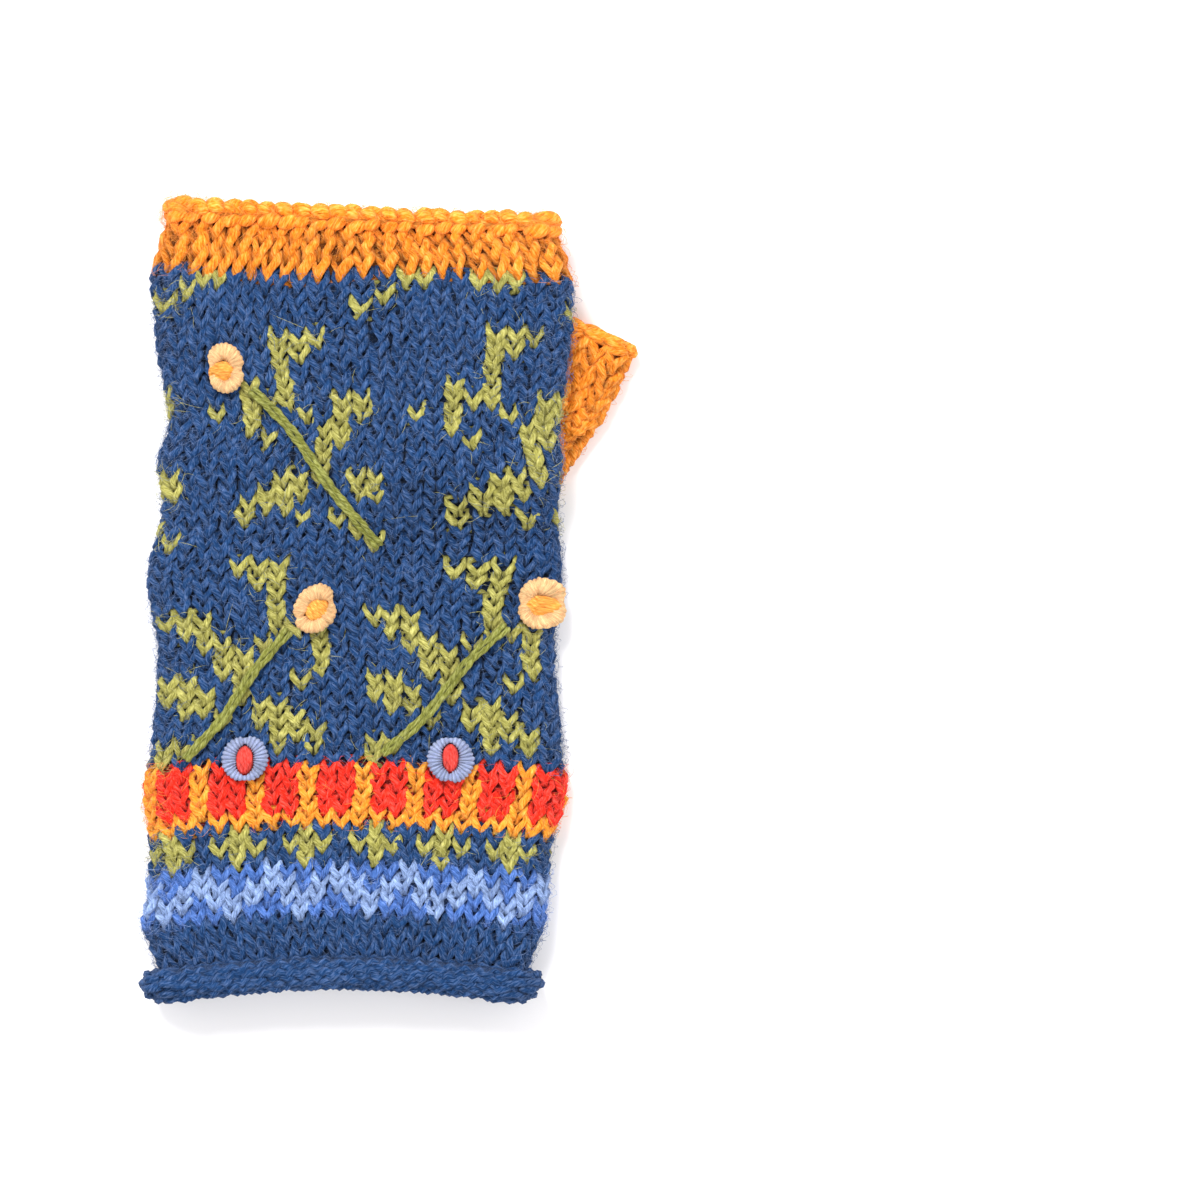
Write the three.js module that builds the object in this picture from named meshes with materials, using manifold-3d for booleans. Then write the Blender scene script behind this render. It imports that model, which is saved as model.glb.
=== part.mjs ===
// A knitted fingerless hand warmer, lying flat on its palm with the back of the hand up.
// It is a hollow woollen tube, open at the wrist and at the fingers. The tube is worked in bands of
// different yarn, its wrist edge rolls outwards, and its finger edge ends in a thick bound-off rim.
// A second, smaller tube for the thumb grows out of a slit in the palm. It lies folded under the
// hand and leans out past the thumb-side edge, so the hand tube rides up over it.
// Three stems and five ring-shaped flowers are embroidered on the back.
import * as THREE from "three";
import { mergeVertices } from "three/addons/utils/BufferGeometryUtils.js";
import Module from "manifold-3d";

// Sizes in millimetres. X runs across the hand towards the thumb, Y from wrist to fingers, Z up.
// The origin is on the table under the middle of the palm.
const HAND_LENGTH = 199;
const HAND_WIDTH = 104;
const WALL = 3; // thickness of the knitted hand tube
const FOLD_HOLLOW = 4; // clear height inside the two side folds
const CROWN = 3.6; // extra height in the middle of the back
const JOIN_GAP = 0.3; // clearance between pieces that meet
const STITCH_GAP = 0.7; // clearance under the embroidery, which lies over the curve of the back

// Bands of the tube, from the wrist up.
const ROW_HEIGHT = 3.3; // one round of knitting
const WRIST_LENGTH = 18.6; // rolled edge and the plain rounds above it
const WAVE_ROWS = 4;
const SPRIG_ROWS = 3;
const BLOCK_ROWS = 5;
const FINGER_LENGTH = 17.2; // plain rounds and the rim at the fingers

const ROLL_RADIUS = 4.2; // outside radius of the rolled wrist edge
const ROLL_GAP = 0.4; // between the rolled edge and the wall that it curls back to
const RIM_RADIUS = 2.2; // bound-off rim at the fingers
const WRIST_SETTLE = 66; // length over which the palm comes down to the table from the wrist roll
const FINGER_SETTLE = 22; // the same from the finger rim

// Thumb tube.
const THUMB_WALL = 2.6;
const THUMB_FOLD_HOLLOW = 3;
const THUMB_CROWN = 2.6;
const THUMB_WIDTH = 40;
const THUMB_LENGTH = 50; // from the lower lip of the slit to the mouth, along the tube
const THUMB_LEAN = 27.5; // degrees that the tube leans out from the hand's own length
const THUMB_RIM_RADIUS = 1.5;
const THUMB_SETTLE = 14; // length over which the thumb's wall comes down to the table from its rim
const SLIT_RISE = 7; // length over which the palm climbs from the lower lip to the upper lip
const SLANT_SHARE = 0.7; // share of the thumb tube over which its slanted rounds straighten
const SLIT_ACROSS = 0.579; // middle of the slit, as a share of the hand's half width
const SLIT_ALONG = 0.64; // lower lip of the slit, as a share of the hand's length
const DRAPE_PALM = 18; // how far beside the thumb tube the palm takes to come down to the table
const DRAPE_BACK = 28; // the same for the back, which bridges more softly
const DRAPE_FINGERS = 42; // the same for both beyond the mouth of the thumb tube

// Embroidery.
const STEM_RADIUS = 1.2;
const FLOWER_WIDTH = 12; // across an average flower
const PETAL_WIDTH = 3.5; // from the inside to the outside of a flower's wrapped ring
const PETAL_HEIGHT = 3;
const BUTTON_HEIGHT = 2.6; // the padded oval in the middle of a flower

// Steps of the facets.
const FLAT_STEPS = 6; // from the middle of a flat side to its fold
const FOLD_STEPS = 7;
const ROW_STEP = 6.2; // longest facet along a wall
const TURN_STEP = 30; // degrees, round the wrist roll and the rims
const RING_STEPS = 14; // round a flower
const RING_SIDES = 7; // round the section of its petals
const BUTTON_SIDES = 10;
const BUTTON_LEVELS = [0, 35, 68]; // degrees up the dome of a button
const STEM_STEPS = 9;
const STEM_SIDES = 7;

const { clamp, degToRad, lerp, smoothstep } = THREE.MathUtils;
const FOLD_RADIUS = WALL + FOLD_HOLLOW / 2;
const THUMB_FOLD_RADIUS = THUMB_WALL + THUMB_FOLD_HOLLOW / 2;
const THUMB_HEIGHT = 2 * THUMB_FOLD_RADIUS + THUMB_CROWN;
const HALF_WIDTH = HAND_WIDTH / 2;

// Outline of the hand tube from wrist to fingers. at is a share of its length; left and right are
// shares of its half width; bow and tilt are shares of its length, by which a round of knitting
// stands higher in the middle, or higher at the thumb side; crown is a share of the crown height.
const OUTLINE = [
  { at: 0.0, left: 0.905, right: 0.765, bow: 0.019, tilt: 0.0, crown: 0.5 },
  { at: 0.055, left: 0.965, right: 0.855, bow: 0.019, tilt: 0.0, crown: 0.5 },
  { at: 0.095, left: 1.028, right: 0.915, bow: 0.019, tilt: 0.0, crown: 0.55 },
  { at: 0.15, left: 1.0, right: 0.94, bow: 0.018, tilt: 0.0, crown: 0.7 },
  { at: 0.205, left: 1.0, right: 0.955, bow: 0.016, tilt: 0.0, crown: 0.85 },
  { at: 0.262, left: 1.03, right: 1.02, bow: 0.013, tilt: 0.0, crown: 0.95 },
  { at: 0.33, left: 0.985, right: 1.0, bow: 0.01, tilt: 0.0, crown: 1.0 },
  { at: 0.44, left: 0.963, right: 0.963, bow: 0.006, tilt: 0.0, crown: 1.0 },
  { at: 0.535, left: 1.006, right: 1.0, bow: 0.003, tilt: 0.0, crown: 1.0 },
  { at: 0.615, left: 0.943, right: 0.98, bow: 0.0, tilt: 0.0, crown: 0.95 },
  { at: 0.68, left: 0.958, right: 1.0, bow: 0.0, tilt: -0.001, crown: 1.05 },
  { at: 0.73, left: 0.908, right: 0.992, bow: 0.0, tilt: -0.002, crown: 1.15 },
  { at: 0.8, left: 0.95, right: 1.03, bow: 0.0, tilt: -0.004, crown: 1.2 },
  { at: 0.905, left: 0.993, right: 1.055, bow: 0.0, tilt: -0.007, crown: 1.3 },
  { at: 0.935, left: 0.96, right: 1.03, bow: -0.001, tilt: -0.009, crown: 0.9 },
  { at: 1.0, left: 0.875, right: 0.94, bow: -0.002, tilt: -0.011, crown: 0.55 },
];

// Soft dents in the back. across and along are shares of the half width and the length, reach is a
// share of the half width and depth a share of the crown.
const DENTS = [
  { across: -0.35, along: 0.9, reach: 0.3, depth: 0.3 },
  { across: 0.3, along: 0.86, reach: 0.3, depth: 0.15 },
  { across: -0.6, along: 0.56, reach: 0.3, depth: 0.25 },
  { across: 0.15, along: 0.47, reach: 0.35, depth: 0.3 },
  { across: -0.1, along: 0.27, reach: 0.4, depth: 0.2 },
  { across: 0.6, along: 0.24, reach: 0.25, depth: 0.2 },
];

// The thumb tube from its slit to its mouth. at is a share of its length, shift a share of its
// width by which it stands aside from the straight line, width a share of its width and turn a
// share of its lean by which its rounds are turned.
const THUMB_OUTLINE = [
  { at: 0.0, shift: 0.0, width: 0.96, turn: 0.0 },
  { at: 0.14, shift: 0.0, width: 0.99, turn: 0.2 },
  { at: 0.5, shift: -0.01, width: 1.0, turn: 0.62 },
  { at: 0.82, shift: 0.0, width: 0.96, turn: 0.82 },
  { at: 1.0, shift: 0.0, width: 0.92, turn: 0.87 },
];

// Flowers. across and along place them as shares of the half width and the length; wide and tall
// are their outside sizes as shares of the flower width, and turn is in degrees, anticlockwise.
const FLOWERS = [
  { name: "peach_1", across: -0.625, along: 0.797, wide: 0.885, tall: 1.085, turn: 8 },
  { name: "peach_2", across: -0.185, along: 0.493, wide: 0.95, tall: 1.165, turn: -32 },
  { name: "peach_3", across: 0.885, along: 0.503, wide: 0.915, tall: 1.135, turn: -12 },
  { name: "blue_1", across: -0.527, along: 0.3, wide: 0.985, tall: 1.015, turn: 0 },
  { name: "blue_2", across: 0.463, along: 0.298, wide: 0.985, tall: 1.015, turn: 0 },
];

// Stems, each from its flower to its foot, as across and along shares.
const STEMS = [
  { name: "stem_1", path: [[-0.5, 0.772], [-0.31, 0.722], [-0.125, 0.653], [0.125, 0.572]] },
  { name: "stem_2", path: [[-0.31, 0.466], [-0.48, 0.414], [-0.64, 0.352], [-0.82, 0.302]] },
  { name: "stem_3", path: [[0.74, 0.474], [0.55, 0.426], [0.335, 0.352], [0.13, 0.302]] },
];

// Value of one column of a table at a share of the way, on a smooth curve through its rows.
function alongTable(table, column, at) {
  const last = table.length - 1;
  let row = 0;
  while (row < last - 1 && at > table[row + 1].at) row++;
  const slope = (i) => {
    const low = table[Math.max(i - 1, 0)];
    const high = table[Math.min(i + 1, last)];
    return (high[column] - low[column]) / (high.at - low.at);
  };
  const [from, to] = [table[row], table[row + 1]];
  const span = to.at - from.at;
  const t = clamp((at - from.at) / span, 0, 1);
  return (
    (2 * t ** 3 - 3 * t ** 2 + 1) * from[column] +
    (t ** 3 - 2 * t ** 2 + t) * span * slope(row) +
    (3 * t ** 2 - 2 * t ** 3) * to[column] +
    (t ** 3 - t ** 2) * span * slope(row + 1)
  );
}

// A place on a flattened tube. share runs round it from -0.5 to 0.5, with 0 in the middle of its
// upper side and positive shares towards +X. depth is measured inwards from its outer face.
function loopPoint(share, half, radius, depth) {
  const flat = half - radius;
  const run = Math.abs(share) * (4 * flat + 2 * Math.PI * radius);
  const turn = clamp((run - flat) / radius, 0, Math.PI);
  const core = Math.min(run, flat) - Math.max(run - flat - Math.PI * radius, 0);
  const side = share < 0 ? -1 : 1;
  return {
    across: side * (core + (radius - depth) * Math.sin(turn)),
    up: radius + (radius - depth) * Math.cos(turn),
    edge: (side * (core + radius * Math.sin(turn))) / half,
    top: smoothstep(Math.cos(turn), -1, 1),
  };
}

// Middle, direction and half width of the thumb tube's section at a share of its length, seen from
// above.
const slitMiddle = new THREE.Vector2(SLIT_ACROSS * HALF_WIDTH, (SLIT_ALONG - 0.5) * HAND_LENGTH);
function thumbSection(at) {
  const lean = degToRad(THUMB_LEAN);
  const turn = lean * alongTable(THUMB_OUTLINE, "turn", at);
  const shift = THUMB_WIDTH * alongTable(THUMB_OUTLINE, "shift", at);
  return {
    x: slitMiddle.x + at * THUMB_LENGTH * Math.sin(lean) + shift,
    y: slitMiddle.y + at * THUMB_LENGTH * Math.cos(lean),
    turn,
    half: (THUMB_WIDTH / 2) * alongTable(THUMB_OUTLINE, "width", at),
  };
}

// Two straight lines bound the raised part of the palm: the thumb tube's inner edge and its mouth.
function edgeLine() {
  const corner = (at) => {
    const s = thumbSection(at);
    return { x: s.x - s.half * Math.cos(s.turn), y: s.y + s.half * Math.sin(s.turn) };
  };
  const [foot, top] = [corner(0), corner(1)];
  const mouth = thumbSection(1);
  return { foot, slope: (top.x - foot.x) / (top.y - foot.y), mouth };
}
const THUMB_EDGE = edgeLine();

// How far the thumb's rim holds its wall off the table, at a distance from the slit.
function thumbRimLift(along) {
  const foot = THUMB_LENGTH - 2 * THUMB_RIM_RADIUS;
  return (2 * THUMB_RIM_RADIUS - THUMB_WALL) * smoothstep(along, foot - THUMB_SETTLE, foot);
}

// How far the thumb tube lifts the hand tube at a place on the table. early and late are how long
// before and after the lower lip the climb lasts, and reach is how far it spreads round the thumb.
function thumbLift(x, y, early, late, reach, overlap) {
  const { foot, slope, mouth } = THUMB_EDGE;
  const inner = foot.x + slope * (y - foot.y) + overlap;
  const brow = mouth.y - (x - mouth.x) * Math.tan(mouth.turn) + overlap;
  return (
    (THUMB_HEIGHT + JOIN_GAP + 2 * thumbRimLift(y - slitMiddle.y)) *
    smoothstep(x, inner - reach, inner) *
    smoothstep(y, slitMiddle.y - early, slitMiddle.y + late) *
    (1 - smoothstep(y, brow, brow + DRAPE_FINGERS))
  );
}

// How far the wrist roll and the finger rim hold the wall off the table, at a distance from the
// wrist.
function endLift(along) {
  const roll = 2 * ROLL_RADIUS - WALL;
  const rim = 2 * RIM_RADIUS - WALL;
  const wristTop = 2 * ROLL_RADIUS;
  const fingerFoot = HAND_LENGTH - 2 * RIM_RADIUS;
  return (
    roll * (1 - smoothstep(along, wristTop, wristTop + WRIST_SETTLE)) +
    rim * smoothstep(along, fingerFoot - FINGER_SETTLE, fingerFoot)
  );
}

// A place on the hand tube: a share round it, a distance from the wrist and a depth in its wall.
function handPoint(share, along, depth) {
  const at = along / HAND_LENGTH;
  const left = HALF_WIDTH * alongTable(OUTLINE, "left", at);
  const right = HALF_WIDTH * alongTable(OUTLINE, "right", at);
  const loop = loopPoint(share, (left + right) / 2, FOLD_RADIUS, depth);
  const x = (right - left) / 2 + loop.across;
  const bow = alongTable(OUTLINE, "bow", at) * (1 - loop.edge ** 2);
  const tilt = alongTable(OUTLINE, "tilt", at) * loop.edge;
  const y = along - HAND_LENGTH / 2 + HAND_LENGTH * (bow + tilt);
  const reachX = loop.edge * HALF_WIDTH;
  const dents = DENTS.reduce((sum, dent) => {
    const dx = (reachX / HALF_WIDTH - dent.across) / dent.reach;
    const dy = ((at - dent.along) * HAND_LENGTH) / (dent.reach * HALF_WIDTH);
    return sum + dent.depth * Math.exp(-(dx ** 2) - dy ** 2);
  }, 0);
  const swell = CROWN * (alongTable(OUTLINE, "crown", at) * (1 - loop.edge ** 2) - dents);
  const palm = thumbLift(x, y, 0, SLIT_RISE, DRAPE_PALM, 0);
  const back = thumbLift(x, y, 2 * SLIT_RISE, SLIT_RISE, DRAPE_BACK, THUMB_WALL);
  return [x, y, loop.up + endLift(along) + loop.top * swell + lerp(palm, back, loop.top)];
}

// A place on the thumb tube. Its lower side starts at the lower lip of the slit and its upper side
// at the upper lip, so its first rounds are aslant.
function thumbPoint(share, along, depth) {
  const at = along / THUMB_LENGTH;
  const section = thumbSection(at);
  const loop = loopPoint(share, section.half, THUMB_FOLD_RADIUS, depth);
  const slant = SLIT_RISE * loop.top * (1 - smoothstep(at, 0, SLANT_SHARE));
  const swell = THUMB_CROWN * (1 - loop.edge ** 2) * loop.top;
  return [
    section.x + loop.across * Math.cos(section.turn),
    section.y - loop.across * Math.sin(section.turn) + slant,
    loop.up + swell + thumbRimLift(along),
  ];
}

// Shares round a flattened tube at which its facets meet, closer together round the folds.
function loopShares(half, radius, flatSteps) {
  const flat = half - radius;
  const perimeter = 4 * flat + 2 * Math.PI * radius;
  const runs = [];
  for (let i = 0; i < flatSteps; i++) runs.push((flat * i) / flatSteps);
  for (let i = 0; i < FOLD_STEPS; i++) runs.push(flat + (Math.PI * radius * i) / FOLD_STEPS);
  for (let i = 0; i < flatSteps; i++) runs.push(flat + Math.PI * radius + (flat * i) / flatSteps);
  const right = runs.map((run) => run / perimeter);
  const left = right.slice(1).map((share) => -share).reverse();
  return [...right, 0.5, ...left];
}

function meshGeometry(points, index) {
  const geometry = new THREE.BufferGeometry();
  geometry.setAttribute("position", new THREE.Float32BufferAttribute(points.flat(), 3));
  geometry.setIndex(index);
  geometry.computeVertexNormals();
  return geometry;
}

// A wall: carries a closed outline of [along, depth] pairs round a tube.
function wallGeometry(outline, shares, place) {
  const points = outline.flatMap(([along, depth]) => shares.map((share) => place(share, along, depth)));
  const columns = shares.length;
  const index = [];
  outline.forEach((_, row) => {
    const above = (row + 1) % outline.length;
    for (let column = 0; column < columns; column++) {
      const next = (column + 1) % columns;
      const [a, b] = [row * columns + column, row * columns + next];
      const [c, d] = [above * columns + next, above * columns + column];
      index.push(a, b, c, a, c, d);
    }
  });
  return meshGeometry(points, index);
}

// A closed tube through rings of points, with a fan over each end.
function tubeGeometry(rings) {
  const sides = rings[0].length;
  const points = rings.flat();
  const index = [];
  for (let ring = 0; ring + 1 < rings.length; ring++)
    for (let side = 0; side < sides; side++) {
      const next = (side + 1) % sides;
      const [a, b] = [ring * sides + side, ring * sides + next];
      index.push(a, b, b + sides, a, b + sides, a + sides);
    }
  [rings[0], rings[rings.length - 1]].forEach((ring, end) => {
    const middle = points.length;
    points.push([0, 1, 2].map((axis) => ring.reduce((sum, p) => sum + p[axis], 0) / sides));
    const first = end * (rings.length - 1) * sides;
    for (let side = 0; side < sides; side++) {
      const edge = [first + side, first + ((side + 1) % sides)];
      index.push(...(end ? edge : edge.reverse()), middle);
    }
  });
  return meshGeometry(points, index);
}

// Evenly spaced values from low to high, no further apart than step.
function spaced(low, high, step) {
  const count = Math.max(1, Math.ceil(Math.abs(high - low) / step - 1e-9));
  return Array.from({ length: count + 1 }, (_, i) => lerp(low, high, i / count));
}

// Outline of a plain length of wall: up its outer face and down its inner one, with a row of
// facets at each of its stops.
function bandOutline(stops, thickness) {
  const lengths = stops.slice(1).map((stop, i) => spaced(stops[i], stop, ROW_STEP));
  const up = [stops[0], ...lengths.flatMap((length) => length.slice(1))];
  return [...up.map((along) => [along, 0]), ...up.reverse().map((along) => [along, thickness])];
}

// Outline of the wrist band: its wall curls outwards into a roll that stops just short of itself.
function rollOutline(high) {
  const middle = WALL - ROLL_RADIUS;
  const hollow = ROLL_RADIUS - WALL;
  const reach = 360 - (Math.acos(clamp((-ROLL_GAP - middle) / ROLL_RADIUS, -1, 1)) * 180) / Math.PI;
  const curl = (degrees, radius) => [
    ROLL_RADIUS - radius * Math.sin(degToRad(degrees)),
    middle + radius * Math.cos(degToRad(degrees)),
  ];
  const wall = spaced(ROLL_RADIUS, high, ROW_STEP).slice(1);
  return [
    ...spaced(reach, 0, 2 * TURN_STEP).map((degrees) => curl(degrees, hollow)),
    ...wall.map((along) => [along, 0]),
    ...wall.reverse().map((along) => [along, WALL]),
    ...spaced(0, reach, TURN_STEP).map((degrees) => curl(degrees, ROLL_RADIUS)),
  ];
}

// Outline of a wall that ends in a thick bound-off rim, flush with its inner face.
function rimOutline(low, high, thickness, radius) {
  const middle = thickness - radius;
  const neck = Math.asin(clamp((radius - thickness) / radius, -1, 1));
  const foot = high - radius;
  const up = spaced(low, foot - radius * Math.cos(neck), ROW_STEP);
  const turns = spaced((-neck * 180) / Math.PI, 180, TURN_STEP).slice(1, -1);
  return [
    ...up.map((along) => [along, 0]),
    ...turns.map((degrees) => [
      foot - radius * Math.cos(degToRad(degrees)),
      middle - radius * Math.sin(degToRad(degrees)),
    ]),
    ...spaced(180, 270, TURN_STEP).map((degrees) => [
      foot - radius * Math.cos(degToRad(degrees)),
      middle - radius * Math.sin(degToRad(degrees)),
    ]),
    ...up.reverse().map((along) => [along, thickness]),
  ];
}

const wasm = await Module();
wasm.setup();

function toSolid(geometry) {
  const plain = geometry.clone();
  plain.deleteAttribute("normal");
  plain.deleteAttribute("uv");
  const merged = mergeVertices(plain, 1e-4);
  return new wasm.Manifold(
    new wasm.Mesh({
      numProp: 3,
      vertProperties: merged.attributes.position.array,
      triVerts: new Uint32Array(merged.index.array),
    }),
  );
}

function toGeometry(solid) {
  const mesh = solid.getMesh();
  const geometry = new THREE.BufferGeometry();
  geometry.setAttribute("position", new THREE.BufferAttribute(mesh.vertProperties, 3));
  geometry.setIndex(new THREE.BufferAttribute(mesh.triVerts, 1));
  geometry.computeVertexNormals();
  return geometry;
}

const thumbOutline = rimOutline(JOIN_GAP, THUMB_LENGTH, THUMB_WALL, THUMB_RIM_RADIUS);
const handShares = loopShares(HALF_WIDTH, FOLD_RADIUS, FLAT_STEPS);
const thumbShares = loopShares(THUMB_WIDTH / 2, THUMB_FOLD_RADIUS, FLAT_STEPS / 2);

// The hand's main band, cut through its palm where the thumb tube grows out of it. The cut starts
// square across the lower lip, so that it also opens the slit between the two lips.
function handBodyGeometry(low, high) {
  const slit = SLIT_ALONG * HAND_LENGTH;
  const outline = bandOutline([low, slit, slit + SLIT_RISE, high], WALL);
  const wall = toSolid(wallGeometry(outline, handShares, handPoint));
  const lip = thumbShares.map((share) => {
    const [x, , z] = thumbPoint(share, 0, -JOIN_GAP);
    return [x, slitMiddle.y, z];
  });
  const rows = thumbOutline.filter(([, depth]) => depth === 0).map(([along]) => along);
  const rings = [...rows, THUMB_LENGTH].map((along) =>
    thumbShares.map((share) => thumbPoint(share, along, -JOIN_GAP - thumbRimLift(along))),
  );
  return toGeometry(wall.subtract(toSolid(tubeGeometry([lip, ...rings]))));
}

// A place on the back of the hand: plan offsets from its middle line and the wrist, and a height
// above the knitting.
function onBack(across, along, height) {
  const at = along / HAND_LENGTH;
  const [left, right] = ["left", "right"].map((side) => HALF_WIDTH * alongTable(OUTLINE, side, at));
  const perimeter = 4 * ((left + right) / 2 - FOLD_RADIUS) + 2 * Math.PI * FOLD_RADIUS;
  return handPoint((across - (right - left) / 2) / perimeter, along, -height);
}

// Directions in degrees, evenly spaced round a full turn.
function turnsOf(count) {
  return Array.from({ length: count }, (_, i) => (360 * i) / count);
}

// A wrapped ring of petals and the padded button in its middle.
function flowerPoint(flower, degrees, radialX, radialY, height) {
  const turn = degToRad(flower.turn);
  const [x, y] = [radialX * Math.cos(degToRad(degrees)), radialY * Math.sin(degToRad(degrees))];
  return onBack(
    flower.across * HALF_WIDTH + x * Math.cos(turn) - y * Math.sin(turn),
    flower.along * HAND_LENGTH + x * Math.sin(turn) + y * Math.cos(turn),
    height,
  );
}

function petalGeometry(flower) {
  const midX = (flower.wide * FLOWER_WIDTH - PETAL_WIDTH) / 2;
  const midY = (flower.tall * FLOWER_WIDTH - PETAL_WIDTH) / 2;
  const outline = turnsOf(RING_SIDES).map((degrees) => [
    (PETAL_WIDTH / 2) * Math.cos(degToRad(degrees)),
    STITCH_GAP + (PETAL_HEIGHT / 2) * (1 + Math.sin(degToRad(degrees))),
  ]);
  return wallGeometry(outline, turnsOf(RING_STEPS), (degrees, out, height) =>
    flowerPoint(flower, degrees, midX + out, midY + out, height),
  );
}

function buttonGeometry(flower) {
  const room = PETAL_WIDTH + JOIN_GAP;
  const radialX = (flower.wide * FLOWER_WIDTH) / 2 - room;
  const radialY = (flower.tall * FLOWER_WIDTH) / 2 - room;
  return tubeGeometry(
    BUTTON_LEVELS.map(degToRad).map((level) =>
      turnsOf(BUTTON_SIDES).map((degrees) =>
        flowerPoint(
          flower,
          degrees,
          radialX * Math.cos(level),
          radialY * Math.cos(level),
          STITCH_GAP + BUTTON_HEIGHT * Math.sin(level),
        ),
      ),
    ),
  );
}

// A stem: a cord laid on the back along a smooth curve through its path.
function stemGeometry(stem) {
  const curve = new THREE.CatmullRomCurve3(
    stem.path.map(([across, along]) => new THREE.Vector3(across * HALF_WIDTH, along * HAND_LENGTH, 0)),
  );
  const rings = Array.from({ length: STEM_STEPS + 1 }, (_, i) => {
    const place = curve.getPointAt(i / STEM_STEPS);
    const ahead = curve.getTangentAt(i / STEM_STEPS);
    return turnsOf(STEM_SIDES).map((degrees) => {
      const aside = -STEM_RADIUS * Math.cos(degToRad(degrees));
      const height = STITCH_GAP + STEM_RADIUS * (1 + Math.sin(degToRad(degrees)));
      return onBack(place.x + ahead.y * aside, place.y - ahead.x * aside, height);
    });
  });
  return tubeGeometry(rings);
}

const group = new THREE.Group();
function addPiece(name, geometry, color) {
  const material = new THREE.MeshStandardMaterial({ color, roughness: 0.95, metalness: 0 });
  const mesh = new THREE.Mesh(geometry, material);
  mesh.name = name;
  group.add(mesh);
}

const NAVY = 0x1f4a80;
const ORANGE = 0xff9420;
const waveFoot = WRIST_LENGTH;
const sprigFoot = waveFoot + WAVE_ROWS * ROW_HEIGHT;
const blockFoot = sprigFoot + SPRIG_ROWS * ROW_HEIGHT;
const bodyFoot = blockFoot + BLOCK_ROWS * ROW_HEIGHT;
const fingerFoot = HAND_LENGTH - FINGER_LENGTH;

function bandGeometry(low, high) {
  return wallGeometry(bandOutline([low, high - JOIN_GAP], WALL), handShares, handPoint);
}

addPiece("wrist_roll", wallGeometry(rollOutline(waveFoot - JOIN_GAP), handShares, handPoint), NAVY);
addPiece("wave_band", bandGeometry(waveFoot, sprigFoot), 0x5f86d2);
addPiece("sprig_band", bandGeometry(sprigFoot, blockFoot), NAVY);
addPiece("block_band", bandGeometry(blockFoot, bodyFoot), 0xe8382a);
addPiece("hand_body", handBodyGeometry(bodyFoot, fingerFoot - JOIN_GAP), NAVY);
const fingerOutline = rimOutline(fingerFoot, HAND_LENGTH, WALL, RIM_RADIUS);
addPiece("finger_band", wallGeometry(fingerOutline, handShares, handPoint), ORANGE);
addPiece("thumb_tube", wallGeometry(thumbOutline, thumbShares, thumbPoint), ORANGE);
for (const flower of FLOWERS) {
  const blue = flower.name.startsWith("blue");
  addPiece(`petals_${flower.name}`, petalGeometry(flower), blue ? 0x7f9fdc : 0xffb46a);
  addPiece(`button_${flower.name}`, buttonGeometry(flower), blue ? 0xe8322c : ORANGE);
}
for (const stem of STEMS) addPiece(stem.name, stemGeometry(stem), 0x8a9440);

const box = new THREE.Box3().setFromObject(group);
group.position.set(-(box.min.x + box.max.x) / 2, -(box.min.y + box.max.y) / 2, -box.min.z);

export default group;
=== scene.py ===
"""Knitted hand warmer: every round of it is modelled as yarn, over the solids of the frame.

The knitting lies on the same surface as the solids. A place in the fabric is given by a share
round the tube, a distance along the fabric, and a height above its middle. The file is laid out
as an add-on and is run as a script. Sizes are in millimetres until a mesh is made.
"""
import math

import bmesh
import bpy
import numpy as np
from bpy.props import FloatProperty, FloatVectorProperty, IntProperty, PointerProperty
from bpy.types import Operator, Panel, PropertyGroup
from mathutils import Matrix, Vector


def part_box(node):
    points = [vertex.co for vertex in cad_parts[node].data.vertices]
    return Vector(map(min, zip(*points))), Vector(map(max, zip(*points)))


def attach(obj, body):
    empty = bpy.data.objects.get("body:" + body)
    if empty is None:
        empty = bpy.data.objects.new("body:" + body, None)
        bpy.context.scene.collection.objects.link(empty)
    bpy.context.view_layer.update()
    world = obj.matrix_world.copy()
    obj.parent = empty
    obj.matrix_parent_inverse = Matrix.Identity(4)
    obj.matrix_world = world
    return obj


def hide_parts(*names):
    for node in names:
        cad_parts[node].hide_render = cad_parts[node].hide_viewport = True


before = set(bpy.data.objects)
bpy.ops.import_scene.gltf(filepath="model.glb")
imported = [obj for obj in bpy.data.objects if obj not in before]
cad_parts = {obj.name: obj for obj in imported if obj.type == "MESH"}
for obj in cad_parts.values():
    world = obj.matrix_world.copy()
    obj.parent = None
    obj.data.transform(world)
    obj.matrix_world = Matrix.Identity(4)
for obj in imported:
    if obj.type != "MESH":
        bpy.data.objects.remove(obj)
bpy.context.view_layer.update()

bl_info = {
    "name": "Knitted hand warmer",
    "version": (1, 0, 0),
    "blender": (4, 5, 0),
    "location": "3D View > Sidebar > Hand warmer",
    "description": "Builds a fingerless knitted hand warmer from yarn",
    "category": "Add Mesh",
}

MM = 0.001

# Sizes of the hand tube and the thumb tube, the same as those of the frame's solids.
HAND_LENGTH = 199.0
HALF_WIDTH = 52.0
WALL = 3.0
FOLD_RADIUS = WALL + 2.0
CROWN = 3.6
WRIST_LENGTH = 18.6
ROW_HEIGHT = 3.3
FINGER_LENGTH = 17.2
ROLL_RADIUS = 4.2
RIM_RADIUS = 2.2
WRIST_SETTLE = 66.0
FINGER_SETTLE = 22.0
THUMB_WALL = 2.6
THUMB_FOLD_RADIUS = THUMB_WALL + 1.5
THUMB_CROWN = 2.6
THUMB_WIDTH = 40.0
THUMB_LENGTH = 50.0
THUMB_LEAN = math.radians(27.5)
THUMB_RIM_RADIUS = 1.5
THUMB_SETTLE = 14.0
THUMB_HEIGHT = 2 * THUMB_FOLD_RADIUS + THUMB_CROWN
JOIN_GAP = 0.3
SLIT_RISE = 7.0
SLANT_SHARE = 0.7
SLIT_X = 0.579 * HALF_WIDTH
SLIT_Y = (0.64 - 0.5) * HAND_LENGTH
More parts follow.
